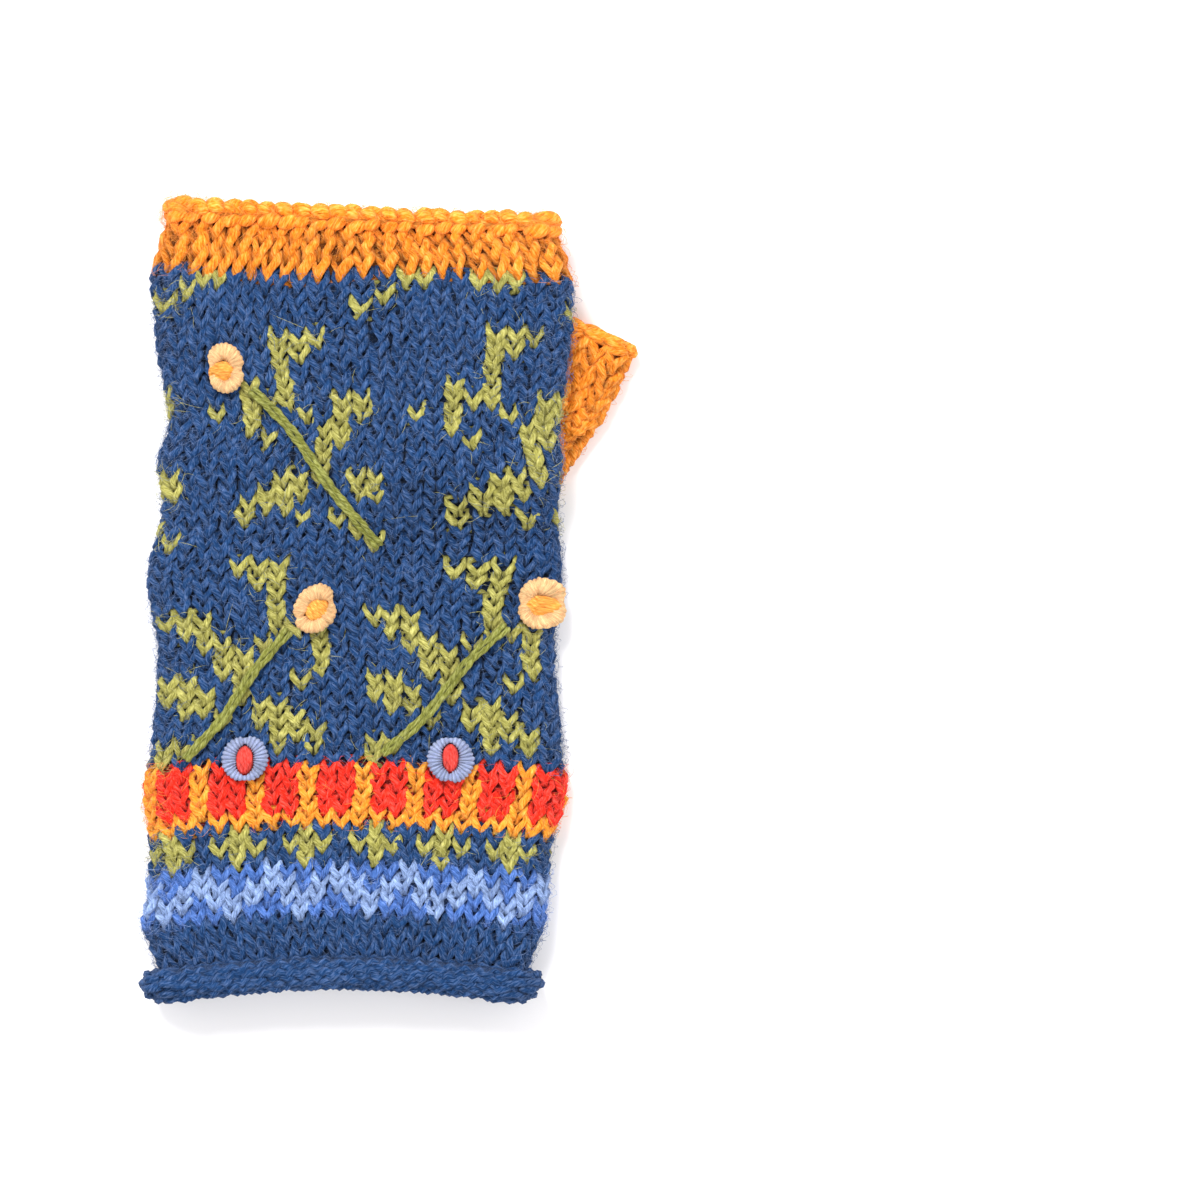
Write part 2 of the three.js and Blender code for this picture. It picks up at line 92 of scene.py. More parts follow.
DRAPE_PALM = 18.0
DRAPE_BACK = 28.0
DRAPE_FINGERS = 42.0
FLOWER_WIDTH = 12.0

# Outline of the hand tube: shares of its length and half width, row by row from the wrist.
OUTLINE_COLUMNS = ("at", "left", "right", "bow", "tilt", "crown")
OUTLINE = np.array([
    (0.0, 0.905, 0.765, 0.019, 0.0, 0.5),
    (0.055, 0.965, 0.855, 0.019, 0.0, 0.5),
    (0.095, 1.028, 0.915, 0.019, 0.0, 0.55),
    (0.15, 1.0, 0.94, 0.018, 0.0, 0.7),
    (0.205, 1.0, 0.955, 0.016, 0.0, 0.85),
    (0.262, 1.03, 1.02, 0.013, 0.0, 0.95),
    (0.33, 0.985, 1.0, 0.01, 0.0, 1.0),
    (0.44, 0.963, 0.963, 0.006, 0.0, 1.0),
    (0.535, 1.006, 1.0, 0.003, 0.0, 1.0),
    (0.615, 0.943, 0.98, 0.0, 0.0, 0.95),
    (0.68, 0.958, 1.0, 0.0, -0.001, 1.05),
    (0.73, 0.908, 0.992, 0.0, -0.002, 1.15),
    (0.8, 0.95, 1.03, 0.0, -0.004, 1.2),
    (0.905, 0.993, 1.055, 0.0, -0.007, 1.3),
    (0.935, 0.96, 1.03, -0.001, -0.009, 0.9),
    (1.0, 0.875, 0.94, -0.002, -0.011, 0.55),
])

# Dents in the back: across and along, reach as a share of the half width, depth of the crown.
DENTS = (
    (-0.35, 0.9, 0.3, 0.3),
    (0.3, 0.86, 0.3, 0.15),
    (-0.6, 0.56, 0.3, 0.25),
    (0.15, 0.47, 0.35, 0.3),
    (-0.1, 0.27, 0.4, 0.2),
    (0.6, 0.24, 0.25, 0.2),
)

# Outline of the thumb tube: shares of its length, width and lean.
THUMB_COLUMNS = ("at", "shift", "width", "turn")
THUMB_OUTLINE = np.array([
    (0.0, 0.0, 0.96, 0.0),
    (0.14, 0.0, 0.99, 0.2),
    (0.5, -0.01, 1.0, 0.62),
    (0.82, 0.0, 0.96, 0.82),
    (1.0, 0.0, 0.92, 0.87),
])

# Flowers: name, across and along, outside width and height as shares of the flower width, turn.
FLOWERS = (
    ("peach_1", -0.625, 0.797, 0.885, 1.085, 8),
    ("peach_2", -0.185, 0.493, 0.95, 1.165, -32),
    ("peach_3", 0.885, 0.503, 0.915, 1.135, -12),
    ("blue_1", -0.527, 0.3, 0.985, 1.015, 0),
    ("blue_2", 0.463, 0.298, 0.985, 1.015, 0),
)
PETAL_HEIGHT = 3.0
PETAL_FOOT = 0.25  # mm from the back of the hand to the petals
PETAL_FLATTEN = 0.85  # height of a petal's section as a share of its width
BUTTON_HEIGHT = 2.6
BUTTON_FOOT = 0.2  # mm from the back of the hand to the rim of a middle
BUTTON_STRAND = 1.15  # mm from one strand of a middle to the next

# The yarn wound round the petals: how many wraps, how far each swells, and the painted shade of
# the grooves between them and of the wraps themselves, which below zero is painted light.
WRAP_COLUMNS = ("wraps", "swell", "groove_shade", "crest_shade")
WRAPS = {"peach": (26, 0.14, 0.25, -0.14), "blue": (30, 0.26, 0.85, 0.0)}

# The wound petals: degrees round the flower of the closed and of the open meeting of the two
# knots, how far the open one gapes, half thickness at the sides, the top and the bottom in mm;
# then the middle's place and half sizes, right and up, in mm.
PETAL_COLUMNS = (
    "closed", "opened", "gape", "side", "top", "bottom", "right", "up", "half_wide", "half_tall",
)
PETALS = {
    "peach_1": (-8, 177, 0.45, 2.1, 2.45, 1.9, -0.9, -0.8, 3.4, 2.7),
    "peach_2": (232, 47, 0.4, 2.1, 2.6, 2.0, 0.6, -0.2, 3.2, 3.4),
    "peach_3": (190, 15, 0.35, 2.05, 2.6, 2.05, 0.3, -0.6, 3.8, 2.9),
    "blue_1": (90, 268, 0.1, 1.9, 1.45, 1.1, -0.1, -0.3, 2.25, 3.75),
    "blue_2": (266, 92, 0.12, 1.95, 1.1, 1.55, 0.0, 0.4, 2.1, 3.75),
}

STEM_SWAY = 17.0  # mm of a stem in which its two strands rock to and fro once
STEM_FOOT = 0.7  # mm from the back of the hand to a stem

# Stems: across and along shares, each from its flower to its foot.
STEMS = (
    ("stem_1", ((-0.5, 0.772), (-0.31, 0.722), (-0.125, 0.653), (0.125, 0.572))),
    ("stem_2", ((-0.31, 0.466), (-0.48, 0.414), (-0.64, 0.352), (-0.82, 0.302))),
    ("stem_3", ((0.74, 0.474), (0.55, 0.426), (0.335, 0.352), (0.13, 0.302))),
)

# Charts, top round first. Each letter is one stitch: . navy, g green, y yellow, r red,
# b royal blue, l light blue.
VINE_LOW = (
    "....ggg....",
    ".....gg....",
    "......g....",
    "......g....",
    "ggg...g....",
    ".gg...ggg..",
    "..gg.g..g..",
    "...gg...g..",
    "...gg...g..",
    "gg..g..g...",
    "ggg.g......",
    ".gg..gg....",
    "...g.ggg...",
    "......ggg..",
    "gg....g.g..",
    "g..........",
)
VINE_HIGH = (
    "......ggg..",
    "......gg...",
    "......g....",
    "......g....",
    "....g.g....",
    "....ggg..gg",
    "..g.g..g.gg",
    "....g...gg.",
    ".....g..gg.",
    "........g..",
    "........g..",
    "g.....ggg.g",
    "g....ggg..g",
    "....ggg....",
    "....g..g.g.",
    "..........g",
    "g..........",
)
VINE_TOP = (
    ".gg.........gg..ggg...",
    "g..........g..........",
    "..........g..........g",
)
PLAIN = ("...........",)
HAND_CHART = VINE_TOP + PLAIN + VINE_HIGH + PLAIN + VINE_LOW
WAVE = ("bblb", "blll", "llbl", "lbbb")
SPRIG = ("g...", "gg.g", "g...")
BLOCK = ("yrr", "yrr", "yrr", "yrr", "yyy")

# Patterned bands above the wrist: name, chart, yarn behind it, and shift in stitches.
WRIST_BANDS = (("wave", WAVE, "b", 3), ("sprig", SPRIG, ".", 3), ("block", BLOCK, "r", 0))

# Shape of one stitch, as shares of its width and of the height of a round.
LOOP_SWING = 0.33  # how far the legs swing aside
LOOP_REACH = 0.92  # how far the loop reaches above and below its round
LOOP_PLUMP = 0.14  # how much thicker the legs are than the heads
# Painted shade: yarn below the first height is fully darkened, yarn above the second not at all.
LOOP_SHADE_HEIGHTS = (-0.3, 1.15)  # heights in mm between which the yarn comes into the light
LOOP_STEPS = 10
YARN_SIDES = 6
YARN_APART = 37.3  # mm along the yarn's pattern from one yarn to the next

# How unevenly stitches and their legs lie: as shares of a stitch, a round or the yarn.
UNEVEN_ASIDE = 0.07
UNEVEN_LEG_ASIDE = 0.065
UNEVEN_UP = 0.08
UNEVEN_LEG_UP = 0.09
UNEVEN_REACH = 0.09
UNEVEN_GIRTH = 0.08
UNEVEN_LEG_GIRTH = 0.13
UNEVEN_LIFT = 0.16  # in mm
UNEVEN_LEG_LIFT = 0.24  # in mm
SWAY_ASIDE = 0.08
SWAY_UP = 0.06

# Size and place of the rolled wrist, the rims, the walls under the stitches and the rounds.
ROLL_TURN = 2.7  # radius of the middle of the rolled fabric
ROLL_LENGTH = 12.5  # fabric in the roll
ROLL_ROUNDS = 6
PLAIN_ROUNDS = 4  # between the roll and the wave band
FINGER_ROUNDS = 3
HAND_SHIFT = 10  # stitches by which the vine chart is shifted
RIM_FOOT = 1.6  # radii from the top of a rim down to the last round under it
# Painted light: the chain of a rim is brightened all over.
RIM_PAINTED_LIGHT = -0.2  # the chain on a rim catches the light
# Painted shade: the rope under a rim's chain is darkened all over.
CORE_PAINTED_SHADE = 0.3
HAND_STITCHES = 44
WRIST_STITCHES = 48
THUMB_STITCHES = 15
THUMB_ROUNDS = 11
THUMB_FOOT = 0.6  # mm from the slit to the first round of the thumb
TABLE_GAP = 0.02  # mm between the table and what lies on it
BACKING_ROW = 2.2  # mm between the rows of points in a wall
BACKING_LIFT = -0.45  # mm from the middle of the fabric
BACKING_THICKNESS = 0.7
ROLL_BACKING_THICKNESS = 1.5
WRIST_PHASE = -0.5  # share round at which the wrist's first column starts
HAND_PHASE = -0.5137  # share round at which the hand's first column starts

# Places where the knitting has shifted on the back of the hand: across and along, reach as a
# share of the half width, and the shift in mm sideways and towards the fingers.
DRIFTS = (
    (-0.85, 0.95, 0.5, 4.4, 1.0),
    (-1.0, 0.905, 0.25, 2.2, 0.0),
    (0.2, 0.905, 0.2, 1.6, 0.3),
    (0.1, 0.98, 0.7, 0.8, 2.0),
    (-0.35, 0.86, 0.35, -2.8, -2.3),
    (0.85, 0.96, 0.3, 0.5, 0.8),
    (0.75, 0.6, 0.34, 6.0, 0.0),
    (0.8, 0.42, 0.33, 3.5, 0.6),
    (-0.05, 0.42, 0.25, 1.4, 0.6),
    (-0.2, 0.5, 0.4, 0.3, 0.6),
    (-0.6, 0.3, 0.3, -0.6, 0.5),
)

# Loose fibres: the share of them that grows near the folds, and their thickness from end to
# end; then how unequal their lengths are, how far they curl in radians, and in mm how far from
# the middle of the fabric they start and how far they may lie past the band.
FOLD_FIBRES = 0.3
FIBRE_TAPER = (0.0, 1.0, 1.0, 0.8, 0.0)
FIBRE_SPREAD = 0.45
FIBRE_CURL = 1.6
FIBRE_FOOT = 0.75
FIBRE_PAST = 1.5

# Where the drifts and ripples fade out: shares round the tube from the middle of the back, and
# distances in mm from the wrist and from the fingers.
DRIFT_END, DRIFT_FADE = 0.34, 0.1
RIPPLE_END, RIPPLE_FADE = 0.25, 0.08
FADE_WRIST = (8, 30)
FADE_FINGERS = (12, 4)

# Ripples in the fabric: wavelengths across and along, lean and height, in mm.
RIPPLES = (
    (23.0, 31.0, 0.3, 0.35),
    (13.0, 17.0, -0.6, 0.25),
    (41.0, 26.0, 0.9, 0.3),
)

# Wool: the twist in radians for each mm of yarn, how much painted shade darkens the depths,
# how fine the patches of deeper and paler shade are, and how far the fibres stand up.
YARN_TWIST = 0.6
HOLLOW_SHADE = 0.62
PATCH_SCALE = 0.34 / MM
FIBRE_RELIEF = 0.4 * MM

# The stage, in metres: half the floor and its colour, the brightness of the sky, the lights'
# place, width and power in watts, and the camera, which looks straight down.
FLOOR_HALF = 4.0
FLOOR_COLOUR = (0.945, 0.93, 0.94, 1)
SKY_LIGHT = 0.97
LIGHTS = (
    ("key_light", (-0.5, 1.1, 1.7), 0.8, 44.0),
    ("fill_light", (1.2, -0.6, 1.8), 1.6, 16.0),
)
CAMERA_PLACE = (0.0533, 0.0003, 2.0)
CAMERA_LENS = 238


def srgb(red, green, blue):
    """Linear colour from display values of 0 to 255."""
    values = np.array((red, green, blue)) / 255
    return tuple(np.where(values <= 0.04045, values / 12.92, ((values + 0.055) / 1.055) ** 2.4))


# Surfaces, each a function of arrays of the same shape.


def smoothstep(value, low, high):
    """0 below low, 1 above high, and 3t^2 - 2t^3 between them."""
    t = np.clip((value - low) / (high - low), 0, 1)
    return t * t * (3 - 2 * t)


def along_table(table, columns, name, at):
    """One column of a table at shares of the way, on the cubic curve through its rows."""
    rows, values = table[:, 0], table[:, columns.index(name)]
    last = len(rows) - 1
    low = np.maximum(np.arange(last + 1) - 1, 0)
    high = np.minimum(np.arange(last + 1) + 1, last)
    slope = (values[high] - values[low]) / (rows[high] - rows[low])
    row = np.clip(np.searchsorted(rows, at) - 1, 0, last - 1)
    span = rows[row + 1] - rows[row]
    t = np.clip((at - rows[row]) / span, 0, 1)
    return (
        (2 * t**3 - 3 * t**2 + 1) * values[row]
        + (t**3 - 2 * t**2 + t) * span * slope[row]
        + (3 * t**2 - 2 * t**3) * values[row + 1]
        + (t**3 - t**2) * span * slope[row + 1]
    )


def loop_point(share, half, radius, depth, wall):
    """A place on a flattened tube: two flats joined by half circles.

    Shares run evenly along the middle of the fabric, from the middle of the upper side.
    """
    share = (share + 0.5) % 1 - 0.5
    flat = half - radius
    bend = radius - wall / 2
    run = np.abs(share) * (4 * flat + 2 * math.pi * bend)
    turn = np.clip((run - flat) / bend, 0, math.pi)
    core = np.minimum(run, flat) - np.maximum(run - flat - math.pi * bend, 0)
    side = np.where(share < 0, -1.0, 1.0)
    across = side * (core + (radius - depth) * np.sin(turn))
    up = radius + (radius - depth) * np.cos(turn)
    edge = side * (core + radius * np.sin(turn)) / half
    return across, up, edge, smoothstep(np.cos(turn), -1, 1)


def thumb_section(at):
    """Middle, turn and half width of the thumb tube's section, seen from above."""
    turn = THUMB_LEAN * along_table(THUMB_OUTLINE, THUMB_COLUMNS, "turn", at)
    shift = THUMB_WIDTH * along_table(THUMB_OUTLINE, THUMB_COLUMNS, "shift", at)
    half = THUMB_WIDTH / 2 * along_table(THUMB_OUTLINE, THUMB_COLUMNS, "width", at)
    x = SLIT_X + at * THUMB_LENGTH * math.sin(THUMB_LEAN) + shift
    y = SLIT_Y + at * THUMB_LENGTH * math.cos(THUMB_LEAN)
    return x, y, turn, half


def thumb_rim_lift(along):
    """How far the thumb's rim holds its wall off the table."""
    foot = THUMB_LENGTH - 2 * THUMB_RIM_RADIUS
    rise = 2 * THUMB_RIM_RADIUS - THUMB_WALL
    return rise * smoothstep(along, foot - THUMB_SETTLE, foot)


def thumb_lift(x, y, early, late, reach, overlap):
    """How far the thumb tube lifts the hand tube, a product of three smooth steps."""
    foot_x, foot_y, foot_turn, foot_half = thumb_section(0.0)
    top_x, top_y, top_turn, top_half = thumb_section(1.0)
    inner_x = foot_x - foot_half * math.cos(foot_turn)
    inner_y = foot_y + foot_half * math.sin(foot_turn)
    end_x = top_x - top_half * math.cos(top_turn)
    end_y = top_y + top_half * math.sin(top_turn)
    slope = (end_x - inner_x) / (end_y - inner_y)
    inner = inner_x + slope * (y - inner_y) + overlap
    brow = top_y - (x - top_x) * math.tan(top_turn) + overlap
    return (
        (THUMB_HEIGHT + JOIN_GAP + 2 * thumb_rim_lift(y - SLIT_Y))
        * smoothstep(x, inner - reach, inner)
        * smoothstep(y, SLIT_Y - early, SLIT_Y + late)
        * (1 - smoothstep(y, brow, brow + DRAPE_FINGERS))
    )


def end_lift(along):
    """How far the wrist roll and the finger rim hold the wall off the table."""
    roll = 2 * ROLL_RADIUS - WALL
    rim = 2 * RIM_RADIUS - WALL
    wrist_top = 2 * ROLL_RADIUS
    finger_foot = HAND_LENGTH - 2 * RIM_RADIUS
    return roll * (1 - smoothstep(along, wrist_top, wrist_top + WRIST_SETTLE)) + (
        rim * smoothstep(along, finger_foot - FINGER_SETTLE, finger_foot)
    )


def hand_half(at):
    """Half width of the hand tube, and how far its middle is shifted towards the thumb."""
    left = HALF_WIDTH * along_table(OUTLINE, OUTLINE_COLUMNS, "left", at)
    right = HALF_WIDTH * along_table(OUTLINE, OUTLINE_COLUMNS, "right", at)
    return (left + right) / 2, (right - left) / 2


def hand_point(share, along, depth):
    """A place on the hand tube: share round it, distance from the wrist and depth in its wall."""
    at = along / HAND_LENGTH
    half, shift = hand_half(at)
    across, up, edge, top = loop_point(share, half, FOLD_RADIUS, depth, WALL)
    x = shift + across
    bow = along_table(OUTLINE, OUTLINE_COLUMNS, "bow", at) * (1 - edge**2)
    tilt = along_table(OUTLINE, OUTLINE_COLUMNS, "tilt", at) * edge
    y = along - HAND_LENGTH / 2 + HAND_LENGTH * (bow + tilt)
    dents = 0
    for dent_across, dent_along, reach, deep in DENTS:
        dx = (edge - dent_across) / reach
        dy = (at - dent_along) * HAND_LENGTH / (reach * HALF_WIDTH)
        dents = dents + deep * np.exp(-(dx**2) - dy**2)
    crown = along_table(OUTLINE, OUTLINE_COLUMNS, "crown", at)
    swell = CROWN * (crown * (1 - edge**2) - dents)
    palm = thumb_lift(x, y, 0, SLIT_RISE, DRAPE_PALM, 0)
    back = thumb_lift(x, y, 2 * SLIT_RISE, SLIT_RISE, DRAPE_BACK, THUMB_WALL)
    z = up + end_lift(along) + top * swell + palm + (back - palm) * top
    return np.stack((x, y, z), axis=-1)


def thumb_point(share, along, depth):
    """A place on the thumb tube, whose first rounds are aslant between the lips of its slit."""
    at = along / THUMB_LENGTH
    middle_x, middle_y, turn, half = thumb_section(at)
    across, up, edge, top = loop_point(share, half, THUMB_FOLD_RADIUS, depth, THUMB_WALL)
    slant = SLIT_RISE * top * (1 - smoothstep(at, 0, SLANT_SHARE))
    x = middle_x + across * np.cos(turn)
    y = middle_y - across * np.sin(turn) + slant
    z = up + THUMB_CROWN * (1 - edge**2) * top + thumb_rim_lift(along)
    return np.stack((x, y, z), axis=-1)


def frame_offset():
    """Where the row frame's origin lies from the middle of the hand tube, found from one band."""
    share, along = np.meshgrid(
        np.linspace(-0.5, 0.5, 121), WRIST_LENGTH + ROW_HEIGHT * np.linspace(7, 12, 9)
    )
    points = hand_point(share, along, 0.0).reshape(-1, 3)
    low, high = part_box("block_band")
    middle = (np.array(low) + np.array(high)) / 2 / MM
    own = (points.min(axis=0) + points.max(axis=0)) / 2
    return np.array((middle[0] - own[0], middle[1] - own[1], 0.0))


OFFSET = frame_offset()


# Fabrics, each a function of a share round, a distance up the fabric and a height above it.


def ripple(across, along):
    """A soft height of sine waves that cross at different slants."""
    total = 0
    for number, (wide, tall, lean, height) in enumerate(RIPPLES):
        phase = across / wide + lean * along / tall + 0.37 * number
        total = total + height * np.sin(2 * math.pi * phase) * np.cos(
            2 * math.pi * along / tall - 1.3 * number
        )
    return total


def hand_fabric(share, up, lift):
    """The flat part of the hand tube's fabric: up is the distance from the wrist.

    On the back it has drifted, by bell-shaped shifts, and it ripples a little.
    """
    share = (share + 0.5) % 1 - 0.5
    front = smoothstep(DRIFT_END - np.abs(share), 0.0, DRIFT_FADE)
    aside, ahead = 0.0, 0.0
    for across, along, reach, right, forward in DRIFTS:
        dx = (4 * share - across) / reach
        dy = (up / HAND_LENGTH - along) * HAND_LENGTH / (reach * HALF_WIDTH)
        bell = np.exp(-(dx**2) - dy**2)
        aside = aside + right * bell
        ahead = ahead + forward * bell
    begin, end = (HAND_LENGTH - distance for distance in FADE_FINGERS)
    ends = smoothstep(up, *FADE_WRIST) * (1 - smoothstep(up, begin, end))
    ahead = ahead * ends * front
    flat = smoothstep(RIPPLE_END - np.abs(share), 0.0, RIPPLE_FADE)
    raised = ripple(share * 4 * HALF_WIDTH, up) * flat * ends
    share = share + aside * front / (4 * HALF_WIDTH)
    return hand_point(share, up + ahead, WALL / 2 - lift - raised) + OFFSET


def wrist_fabric(share, up, lift):
    """The wrist band, which rolls outwards below up = 0 round a circle."""
    turn = np.maximum(-up, 0) / ROLL_TURN
    radius = ROLL_TURN - lift
    along = ROLL_RADIUS + np.maximum(up, 0) - radius * np.sin(turn)
    depth = WALL - ROLL_RADIUS + radius * np.cos(turn)
    return hand_point(share, along, depth) + OFFSET


def thumb_fabric(share, up, lift):
    """The thumb tube's fabric: up is the distance from its slit."""
    return thumb_point(share, up, THUMB_WALL / 2 - lift) + OFFSET


def hand_rim(share, turn, radius):
    """The bound-off rim at the fingers: turn is the angle round its section from outside."""
    along = HAND_LENGTH - RIM_RADIUS + radius * np.sin(turn)
    return hand_point(share, along, WALL - RIM_RADIUS - radius * np.cos(turn)) + OFFSET


def thumb_rim(share, turn, radius):
    """The same for the thumb's mouth."""
    along = THUMB_LENGTH - THUMB_RIM_RADIUS + radius * np.sin(turn)
    return thumb_point(share, along, THUMB_WALL - THUMB_RIM_RADIUS - radius * np.cos(turn)) + OFFSET


def over_finger_rim(share, up, lift):
    """The outside of the rim's chain: up is the distance round its section from the top."""
    return hand_rim(share, up / RIM_RADIUS, 1.25 * RIM_RADIUS + lift - 0.75)


def back_point(across, along, height):
    """A place above the back of the hand, from plan offsets of its middle line and the wrist."""
    half, shift = hand_half(along / HAND_LENGTH)
    length = 4 * (half - FOLD_RADIUS) + 2 * math.pi * (FOLD_RADIUS - WALL / 2)
    return hand_point((across - shift) / length, along, -height) + OFFSET


# Meshes.


def grid_quads(rows, columns, closed_rows=True, flipped=False):
    """Faces of a grid of points, row after row, that closes on itself along its columns.

    closed_rows also joins its last row to the first, and flipped turns the faces over.
    """
    spans = rows if closed_rows else rows - 1
    row, column = np.meshgrid(np.arange(spans), np.arange(columns), indexing="ij")
    next_row, next_column = (row + 1) % rows, (column + 1) % columns
    sides = (row * columns + next_column, next_row * columns + column)
    first, last = sides[::-1] if flipped else sides
    corners = (row * columns + column, first, next_row * columns + next_column, last)
    return np.stack(corners, axis=-1).reshape(-1, 4)


def add_piece(name, points, quads, materials, index=None, uv=None, tris=None):
    """A smooth mesh object from arrays, with a material for each face and a UV for each corner."""
    mesh = bpy.data.meshes.new(name)
    mesh.vertices.add(len(points))
    mesh.vertices.foreach_set("co", (points * MM).astype(np.float32).ravel())
    corners, sizes = quads.ravel(), np.full(len(quads), 4)
    if tris is not None:
        corners = np.concatenate((corners, tris.ravel()))
        sizes = np.concatenate((sizes, np.full(len(tris), 3)))
    mesh.loops.add(len(corners))
    mesh.loops.foreach_set("vertex_index", corners.astype(np.int32))
    mesh.polygons.add(len(sizes))
    starts = np.concatenate(((0,), np.cumsum(sizes)[:-1]))
    mesh.polygons.foreach_set("loop_start", starts.astype(np.int32))
    mesh.polygons.foreach_set("loop_total", sizes.astype(np.int32))
    for material in materials:
        mesh.materials.append(material)
    if index is not None:
        mesh.polygons.foreach_set("material_index", index.astype(np.int32))
    mesh.update(calc_edges=True)
    if uv is not None:
        layer = mesh.uv_layers.new(name="yarn")
        layer.data.foreach_set("uv", uv.astype(np.float32).ravel())
    mesh.polygons.foreach_set("use_smooth", np.ones(len(sizes), dtype=bool))
    mesh.update()
    piece = bpy.data.objects.new(name, mesh)
    bpy.context.scene.collection.objects.link(piece)
    return piece


def unit(vectors):
    """The same directions with length one."""
    return vectors / np.maximum(np.linalg.norm(vectors, axis=-1, keepdims=True), 1e-9)


def swept_tubes(centre, normal, radius, closed, sides=YARN_SIDES):
    """Round tubes through rows of points.

    Each ring stands square to its path; its corners are the point, plus radius times cosine of
    the normal, plus radius times sine of the side direction. Open tubes end in a point.
    Returns points, faces, corner UVs in mm along and turns round, and each face's path and step.
    """
    paths, steps = centre.shape[:2]
    if closed:
        ahead = np.roll(centre, -1, axis=1) - np.roll(centre, 1, axis=1)
        length = np.linalg.norm(np.roll(centre, -1, axis=1) - centre, axis=-1)
    else:
        ahead = np.gradient(centre, axis=1)
        length = np.linalg.norm(np.diff(centre, axis=1), axis=-1)
        length = np.concatenate((length, length[:, -1:]), axis=1)
    ahead = unit(ahead)
    side = unit(np.cross(ahead, normal))
    out = np.cross(side, ahead)
    angle = np.arange(sides) * 2 * math.pi / sides
    ring = np.cos(angle)[:, None] * out[:, :, None, :] + (
        np.sin(angle)[:, None] * side[:, :, None, :]
    )
    points = centre[:, :, None, :] + radius[:, :, None, None] * ring
    spans = steps if closed else steps - 1
    path, step, corner = np.meshgrid(
        np.arange(paths), np.arange(spans), np.arange(sides), indexing="ij"
    )
    next_step, next_corner = (step + 1) % steps, (corner + 1) % sides
    places = ((step, corner), (step, next_corner), (next_step, next_corner), (next_step, corner))
    quads = np.stack([(path * steps + s) * sides + c for s, c in places], -1).reshape(-1, 4)
    begin = np.concatenate((np.zeros((paths, 1)), np.cumsum(length, axis=1)), axis=1)
    begin = begin + np.arange(paths)[:, None] * YARN_APART
    low, high = begin[path, step], begin[path, step + 1]
    left, right = corner / sides, (corner + 1) / sides
    pairs = ((low, left), (low, right), (high, right), (high, left))
    uv = np.stack([np.stack(pair, -1) for pair in pairs], -2).reshape(-1, 2)
    return points.reshape(-1, 3), quads, uv, path.ravel(), step.ravel()


def chart_letters(chart, stitches, shift):
    """Letters of every stitch, bottom round first, from a chart with its top round first."""
    columns = range(shift, shift + stitches)
    return np.array([[row[k % len(row)] for k in columns] for row in chart[::-1]])


def stitch_seed(name):
    """A fixed random source for a piece."""
    return np.random.default_rng(sum(ord(letter) * (i + 7) for i, letter in enumerate(name)))


def above_table(points, gap):
    """Points pressed up to a gap above the table where they would sink into it."""
    x, y, z = np.moveaxis(points, -1, 0)
    return np.stack((x, y, np.maximum(z, gap + TABLE_GAP)), axis=-1)


def stitch_look(options):
    """The look of a band's stitches: its own options, over those of a plain stitch."""
    sizes = bpy.context.scene.hand_warmer_sizes
    plain = {
        "girth": sizes.yarn_radius / MM, "depth": sizes.loop_depth / MM, "plump": LOOP_PLUMP,
        "skew": 0.0, "swing": LOOP_SWING, "reach": LOOP_REACH, "hollow": LOOP_SHADE_HEIGHTS,
        "reverse": False, "shift": 0, "drop": None,
    }
    return {**plain, **options}


def loop_paths(fabric, foot, pitch, shape, phase, look, seed):
    """Middle, normal, radius and lift of the yarn of whole rounds of stocking stitch.

    Over a stitch t runs from 0 to 2 pi. The yarn goes round by t plus a swing of sin 2t, up by
    minus cos t, and out of the fabric by minus cos 2t, so its two legs lie in front. Each stitch
    and each leg strays from this by its own random amounts, which are nil where loops join.
    """
    rounds, stitches = shape
    swing, skew = look["swing"], look["skew"]
    step = np.arange(stitches * LOOP_STEPS)
    t = (step % LOOP_STEPS) * 2 * math.pi / LOOP_STEPS
    stitch, leg = step // LOOP_STEPS, 2 * step // LOOP_STEPS
    whole = seed.normal(size=(4, rounds, stitches))[:, :, stitch] * np.sin(t / 2) ** 2
    single = seed.normal(size=(4, rounds, 2 * stitches))[:, :, leg] * np.sin(t) ** 2
    reach = look["reach"] * (1 + UNEVEN_REACH * whole[2])
    row = np.arange(rounds)[:, None]
    sway = SWAY_ASIDE * np.sin(0.8 * row + 16 * math.pi * stitch / stitches)
    heave = SWAY_UP * np.sin(12 * math.pi * stitch / stitches + 1.7 * row)
    share = (
        stitch + t / (2 * math.pi) + swing * np.sin(2 * t)
        + sway + UNEVEN_ASIDE * whole[0] + UNEVEN_LEG_ASIDE * single[0]
    ) / stitches + phase
    up = foot + pitch * (
        row + 0.5 - reach * np.cos(t) + heave + UNEVEN_UP * whole[1] + UNEVEN_LEG_UP * single[1]
    )
    lift = (
        -look["depth"] * np.cos(2 * t) + UNEVEN_LIFT * whole[3] + UNEVEN_LEG_LIFT * single[2]
        - skew * np.sin(t)
    )
    uneven = UNEVEN_GIRTH * seed.normal(size=(rounds, len(step)))
    radius = look["girth"] * (
        1 - look["plump"] * np.cos(2 * t) - skew * np.sin(t)
        + UNEVEN_LEG_GIRTH * single[3] + uneven
    )
    centre = above_table(fabric(share, up, lift), radius)
    normal = unit(fabric(share, up, lift + 0.4) - fabric(share, up, lift - 0.4))
    return centre, normal, radius, lift


def set_hollow(piece, values):
    """Painted shade of each point: 0 on the yarn, 1 in the depths between loops; below 0, painted
    light.
    """
    layer = piece.data.attributes.new("hollow", "FLOAT", "POINT")
    values = np.broadcast_to(values, len(piece.data.vertices))
    layer.data.foreach_set("value", values.astype(np.float32))


